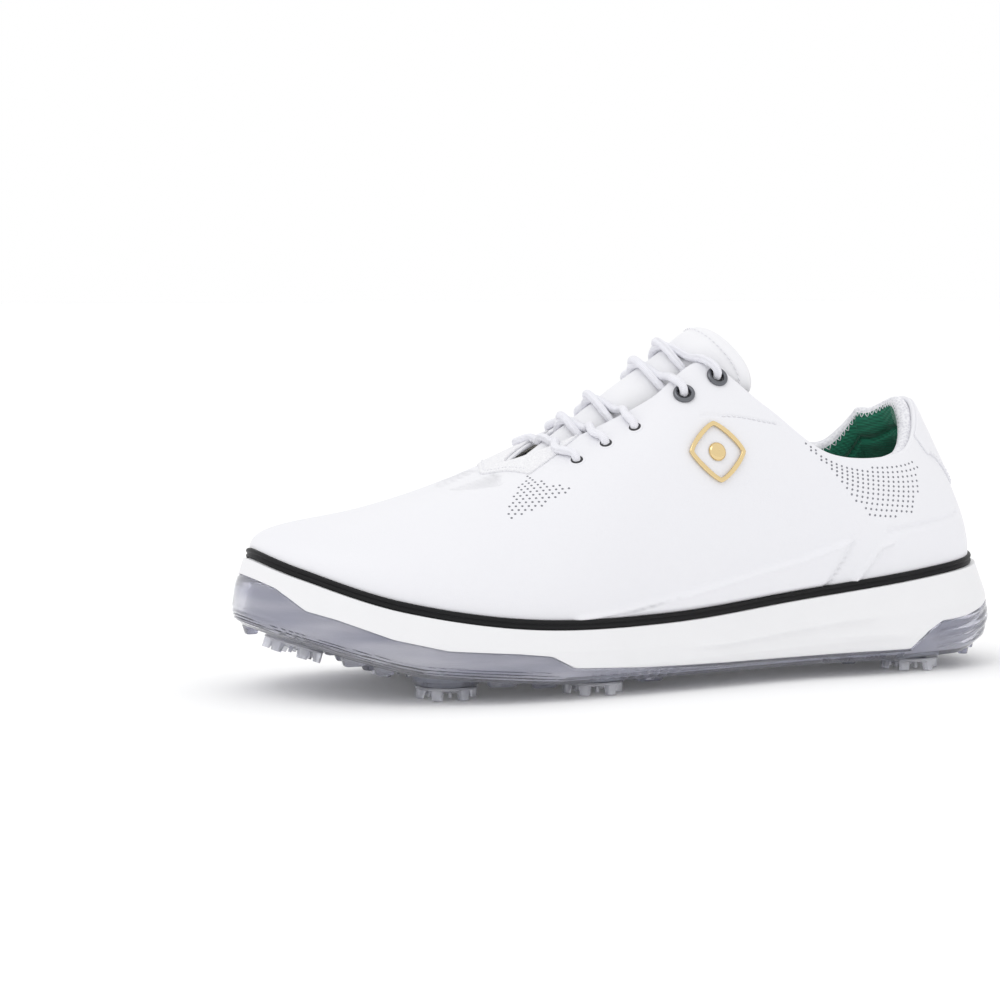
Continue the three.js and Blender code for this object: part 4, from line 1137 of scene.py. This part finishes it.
midsoleLines = [
    {"path": [(3, 0.40), (24, 0.42), (52, 0.50), (78, 0.56), (92, 0.55)], "wide": 1.2, "high": 0.95},
    {"path": [(64, 0.30), (84, 0.27), (104, 0.24)], "wide": 1.0, "high": 0.6},
]


def midsoleRelief(x, h):
    lift = np.zeros_like(x)
    for line in midsoleLines:
        path = np.array(line["path"], float)
        at = np.interp(x, path[:, 0], path[:, 1])
        ends = smooth(path[0, 0] - 4, path[0, 0] + 16, x) * (1 - smooth(path[-1, 0] - 8, path[-1, 0] + 2, x))
        away = (h - at) * 22
        step = -0.5 * line["high"] * (1 - smooth(-3.5, 0, away))
        ridge = line["high"] * np.exp(-(away / line["wide"]) ** 2) * 0.5
        lift += ends * (ridge + np.where(away < 0, step, 0))
    return lift


def makeMidsole():
    def profile(u):
        low, rim, top = soleBottom(u, 3) + floorThick + soleGap, randTop(u) + 0.12, stripeLow(u) - 0.12
        inset = solePoint(u, wallOut(u, rim) - randThick - 0.5, rim)
        floor = solePoint(u, flareAt(u) * soleBulge[1][1] - randThick - 0.7, low)
        h = np.concatenate([[0, 0.006, 0.02], np.linspace(0.05, 0.95, 40), [0.98, 0.995, 1]])
        z = rim[:, None] + (top - rim)[:, None] * h[None]
        out = wallOut(u[:, None] + np.zeros_like(z), z)
        out[:, 0] -= 0.5
        out[:, 1] -= 0.15
        out[:, -1] -= 0.4
        x = solePoint(u, 4, 0)[:, :1]
        out = out + midsoleRelief(x + np.zeros_like(z), h[None] + np.zeros_like(z))
        wall = solePoint(u[:, None], out, z)
        # points run from the top inside, down the wall and in under it
        inner = solePoint(u, -5.5, top)
        return np.concatenate([inner[:, None], wall[:, ::-1], inset[:, None], floor[:, None]], axis=1)
    gridPiece("midsoleShell", acrossGrid(profile, 520), whiteFoam, stands=["midsole"],
              slot="white_foam_rubber", caps=False, sharp=50)


def makeOutsole():
    def profile(u):
        low, rim = soleBottom(u, 3), randTop(u)
        x = solePoint(u, 4, 0)[:, 0]
        h = np.concatenate([np.linspace(0, 0.9, 46), [0.94, 0.97, 0.99, 1.0]])
        start = soleBottom(u, flareAt(u) * soleBulge[0][1])
        z = start[:, None] + (rim - start)[:, None] * h[None]
        out = wallOut(u[:, None] + np.zeros_like(z), z)
        tall = (rim - start)[:, None]
        above = z - start[:, None]
        # fine lines low on the forefoot wall, ribs on the thin waist edge, bands at the heel
        front = (1 - smooth(-62, -44, x))[:, None]
        lines = (-0.5 * np.maximum(np.cos(2 * math.pi * above / 1.15), 0) ** 2 * smooth(0.8, 1.4, above)
                 * (1 - smooth(5.2, 6.0, above)))
        ledge = 0.5 * (1 - smooth(5.6, 6.6, above))
        waist = ((smooth(-48, -40, x) * (1 - smooth(102, 110, x)))[:, None]
                 * smooth(0.5, 1.0, above) * (1 - smooth(tall - 1.3, tall - 0.6, above)))
        run = lengthAlong(solePoint(u, 4, 0))
        ribbed = (((x > -40) & (x < -2)) | ((x > 66) & (x < 102))).astype(float)
        ribs = 0.55 * np.cos(2 * math.pi * run / 1.9)[:, None] * ribbed[:, None]
        heel = smooth(114, 121, x)[:, None]
        turn = above / tall
        slant = 0.0035 * (x[:, None] - 130)
        bands = -0.8 * sum(np.exp(-((turn - c - slant) / 0.045) ** 2) for c in (0.34, 0.56, 0.77))
        chamfer = -0.9 * smooth(tall - 1.0, tall + 0.05, above) ** 2 * (1 - waist)
        out = out + front * (lines + ledge) + waist * ribs + heel * bands + chamfer
        wall = solePoint(u[:, None], out, z)
        back = np.stack([solePoint(u, wallOut(u, rim) - randThick, rim),
                         solePoint(u, flareAt(u) * soleBulge[1][1] - randThick - 0.2, low + floorThick)], 1)
        return np.concatenate([back[:, ::-1], wall[:, ::-1]], axis=1)

    def bottom(a, b):
        t = np.linspace(0, 1, 32)[1:-1]
        grid = a[:, None] + (b - a)[:, None] * t[None, :, None]
        grid[..., 2] = ramp(soleBottomLine, grid[..., 0])
        return grid
    grid = acrossGrid(profile, 680, bottom)
    gridPiece("outsoleShell", grid, clearSole, stands=["outsole"], slot="clear_rubber", caps=False, sharp=50)


makeMidsole()
makeOutsole()
print("sole walls made")


def makeSockliner():
    u = soleStations(160)
    t = np.linspace(0, 1, 40)
    left, right = solePoint(u, -9.6, 0), solePoint(columns - u, -9.6, 0)
    edge = alongRing(featherLine, u)[:, 2]
    top = left[:, None] + (right - left)[:, None] * t[None, :, None]
    top[..., 2] = edge[:, None] + 3.2 + 0.6 * (np.abs(2 * t - 1) ** 3)[None]
    low = top[:, ::-1].copy()
    low[..., 2] = (edge - 0.9)[:, None]
    gridPiece("footbed", np.concatenate([top, low], axis=1), insoleWeave, stands=["sockliner"],
              slot="grey_mesh", caps=False)


makeSockliner()

# lugs and bosses under the sole
lugPlaces = [
    (-148, 14, 3), (-112, -20, 3.6), (-114, 5, 4.2), (-112, 26, 3.6), (-66, -6, 4.4), (-62, 22, 3.8),
    (-60, -30, 3.8), (-92, 0, 4.4), (-38, -8, 4.2), (-10, -33, 3.6), (4, 0, 4), (4, -24, 3.6),
    (86, 0, 4.2), (86, -24, 3.6), (86, 22, 3.6), (138, -14, 3.4), (138, 12, 3.4), (143, 0, 3.2)]
wideLugs = [
    (-70, -47, 13, 4.5), (-53, -46, 11, 4.5), (-122, -30, 9, 5), (-112, -36, 8, 4.5), (-8, -41, 12, 4)]
heelPegs = [(138, -24, 2.4), (146, -14, 2.4), (149, -2, 2.4), (147, 12, 2.4), (140, 22, 2.4)]


bosses = {"cleats": (1, 2), "inner": 9.0, "outer": 12.6, "low": 5.35}


def squareRing(count, power):
    # a circle pulled towards a square
    angles = np.linspace(0, 2 * math.pi, count, endpoint=False)
    c, s = np.cos(angles), np.sin(angles)
    reach = 1 / (np.abs(c) ** power + np.abs(s) ** power) ** (1 / power)
    return reach * c, reach * s


def blockGrid(x, y, halfX, halfY, high, taper, low, turn=0.0):
    # a moulded lug: share of its height and size of its section there
    c, s = squareRing(24, 5.0)
    rings = []
    for share, grow in ((0, 1.08), (0.15, 1.0), (0.8, taper + 0.06), (0.93, taper), (1.0, taper - 0.09)):
        a, b = c * halfX * grow, s * halfY * grow
        rings.append(np.stack([x + a * math.cos(turn) - b * math.sin(turn),
                               y + a * math.sin(turn) + b * math.cos(turn),
                               np.full(24, low - high * share)], axis=-1))
    return np.array(rings)


def makeLugs():
    parts = []
    for x, y, r in lugPlaces:
        low = float(ramp(soleBottomLine, x)) + 0.6
        parts.append(blockGrid(x, y, r, r * 0.8, 3.4, 0.72, low, turn=0.4 * math.sin(x)))
    for x, y, a, b in wideLugs:
        low = float(ramp(soleBottomLine, x)) + 0.8
        parts.append(blockGrid(x, y, a / 2, b / 2, 3.3, 0.8, low))
    for x, y, r in heelPegs:
        low = float(ramp(soleBottomLine, x)) + 1.2
        parts.append(blockGrid(x, y, r, r, 5.2 if x > 144 else 4.6, 0.78, low, turn=math.atan2(y, x - 105)))
    tubeParts(parts, "outsoleLugs", clearSole, slot="clear_rubber", sharp=40)
    # a raised ring carries the cleats where the sole curves up
    for k in bosses["cleats"]:
        x, y = cleatPlaces[k]
        top = float(ramp(soleBottomLine, x + bosses["outer"])) + 1.2
        ring = [(bosses["inner"], top), (bosses["outer"] + 0.6, top), (bosses["outer"], bosses["low"] + 0.5),
                (bosses["outer"] - 0.5, bosses["low"]), (bosses["inner"], bosses["low"])]
        turnedPiece(f"cleatBoss_{k + 1}", np.array([x, y, 0.0]), np.array([0, 0, 1.0]), ring, clearSole, 64,
                    slot="clear_rubber", sharp=40)


makeLugs()

cleatLook = {
    "legs": 6, "root": 9.2, "tip": 9.9, "low": 5.25, "wide": 2.5, "deep": 2.0, "turned": (0.1, 0.35),
    "disc": [(0.02, -0.35), (10.2, -0.35), (11.3, -0.7), (11.5, -1.3), (10.6, -1.8), (8.4, -1.95),
             (6.0, -1.9), (5.2, -2.5), (4.2, -3.0), (2.6, -3.1), (2.3, -2.2), (0.02, -2.1)],
}


def spoke(angle, radius, down, deep, wide):
    # a leg or rib: its middle's radius and height, and its half depth and width, from root to tip
    c, s = squareRing(16, 4.0)
    radial = radius[:, None] + deep[:, None] * c[None]
    cross = wide[:, None] * s[None]
    return np.stack([radial * math.cos(angle) - cross * math.sin(angle),
                     radial * math.sin(angle) + cross * math.cos(angle),
                     np.repeat(down[:, None], 16, 1)], axis=-1)


def cleatParts(k):
    x, y = cleatPlaces[k]
    tilt, z = 0.0, 5.3
    if k == 0:
        # the toe cleat lies along the sole, which rises there
        rise = float(ramp(soleBottomLine, x + 8) - ramp(soleBottomLine, x - 8))
        tilt, z = -math.atan(rise / 16), float(ramp(soleBottomLine, x)) - soleGap
    cos, sin = math.cos(tilt), math.sin(tilt)

    def place(local):
        a, b, c = local[..., 0], local[..., 1], local[..., 2]
        return np.stack([x + a * cos + c * sin, y + b, z - a * sin + c * cos], axis=-1)
    look = cleatLook
    t, short = np.linspace(0, 1, 9), np.linspace(0, 1, 5)
    radius = look["root"] + (look["tip"] - look["root"]) * t ** 0.7
    spokes = [[], []]
    for n in range(look["legs"]):
        angle = 2 * math.pi * (n + 0.5) / look["legs"] + look["turned"][k % 2]
        spokes[0].append(place(spoke(angle, radius, -0.5 - (look["low"] - 0.5) * t,
                                     look["deep"] * (1 - 0.3 * t), look["wide"] * (1 - 0.24 * t))))
        spokes[1].append(place(spoke(angle + math.pi / look["legs"], 6.4 + 1.4 * short, -1.3 - 2.9 * short,
                                     1.9 * (1 - 0.4 * short), 0.9 * (1 - 0.3 * short))))
    return place(lathe(throughPoints(look["disc"], 4), 72)), spokes[0] + spokes[1]


def makeCleats():
    for k in range(7):
        disc, spokes = cleatParts(k)
        gridPiece(f"cleatDisc_{k + 1}", disc, clearCleat, closeRows=True, closeCols=False, caps=False,
                  body=f"cleat_{k + 1}", stands=[f"cleat_{k + 1}"], slot="clear_cleat", sharp=45)
        tubeParts(spokes, f"cleatLegs_{k + 1}", clearCleat, body=f"cleat_{k + 1}", slot="clear_cleat",
                  sharp=50)


makeCleats()
print("cleats made")

# floor and soft studio light
studio = {"world": 1.0, "floorGlow": 0.06, "panels": [
    ("keyPanel", (-0.9, -0.5, 1.5), 0.9, 3.5), ("backPanel", (0.7, 1.1, 1.2), 1.1, 1.0)]}


def makeStudio():
    bpy.ops.mesh.primitive_plane_add(size=30, location=(0, 0, 0))
    floor = bpy.context.object
    floor.name = "floor"
    floor.location.z = -0.0002
    material, nodes, links, shader = newMaterial("paleFloor", {
        "Roughness": 0.8, "Emission Color": (1, 1, 1, 1), "Emission Strength": studio["floorGlow"],
        "Specular IOR Level": 0.1})
    points = objectPoints(nodes, links)
    patch = noise(nodes, links, points, 2, 2)
    links.new(colourMix(nodes, links, patch, (0.94, 0.94, 0.945), (0.96, 0.96, 0.965)),
              shader.inputs["Base Color"])
    floor.data.materials.append(material)
    world = bpy.data.worlds.new("studio")
    world.use_nodes = True
    world.node_tree.nodes["Background"].inputs["Color"].default_value = (1, 1, 1, 1)
    world.node_tree.nodes["Background"].inputs["Strength"].default_value = studio["world"]
    scene.world = world
    for name, place, size, power in studio["panels"]:
        data = bpy.data.lights.new(name, "AREA")
        data.size = size
        data.energy = power
        lamp = bpy.data.objects.new(name, data)
        scene.collection.objects.link(lamp)
        lamp.location = place
        lamp.rotation_euler = (Vector((0, 0, 0.06)) - Vector(place)).to_track_quat("-Z", "Y").to_euler()
    scene.view_settings.view_transform = "Standard"


makeStudio()
bpy.context.view_layer.update()
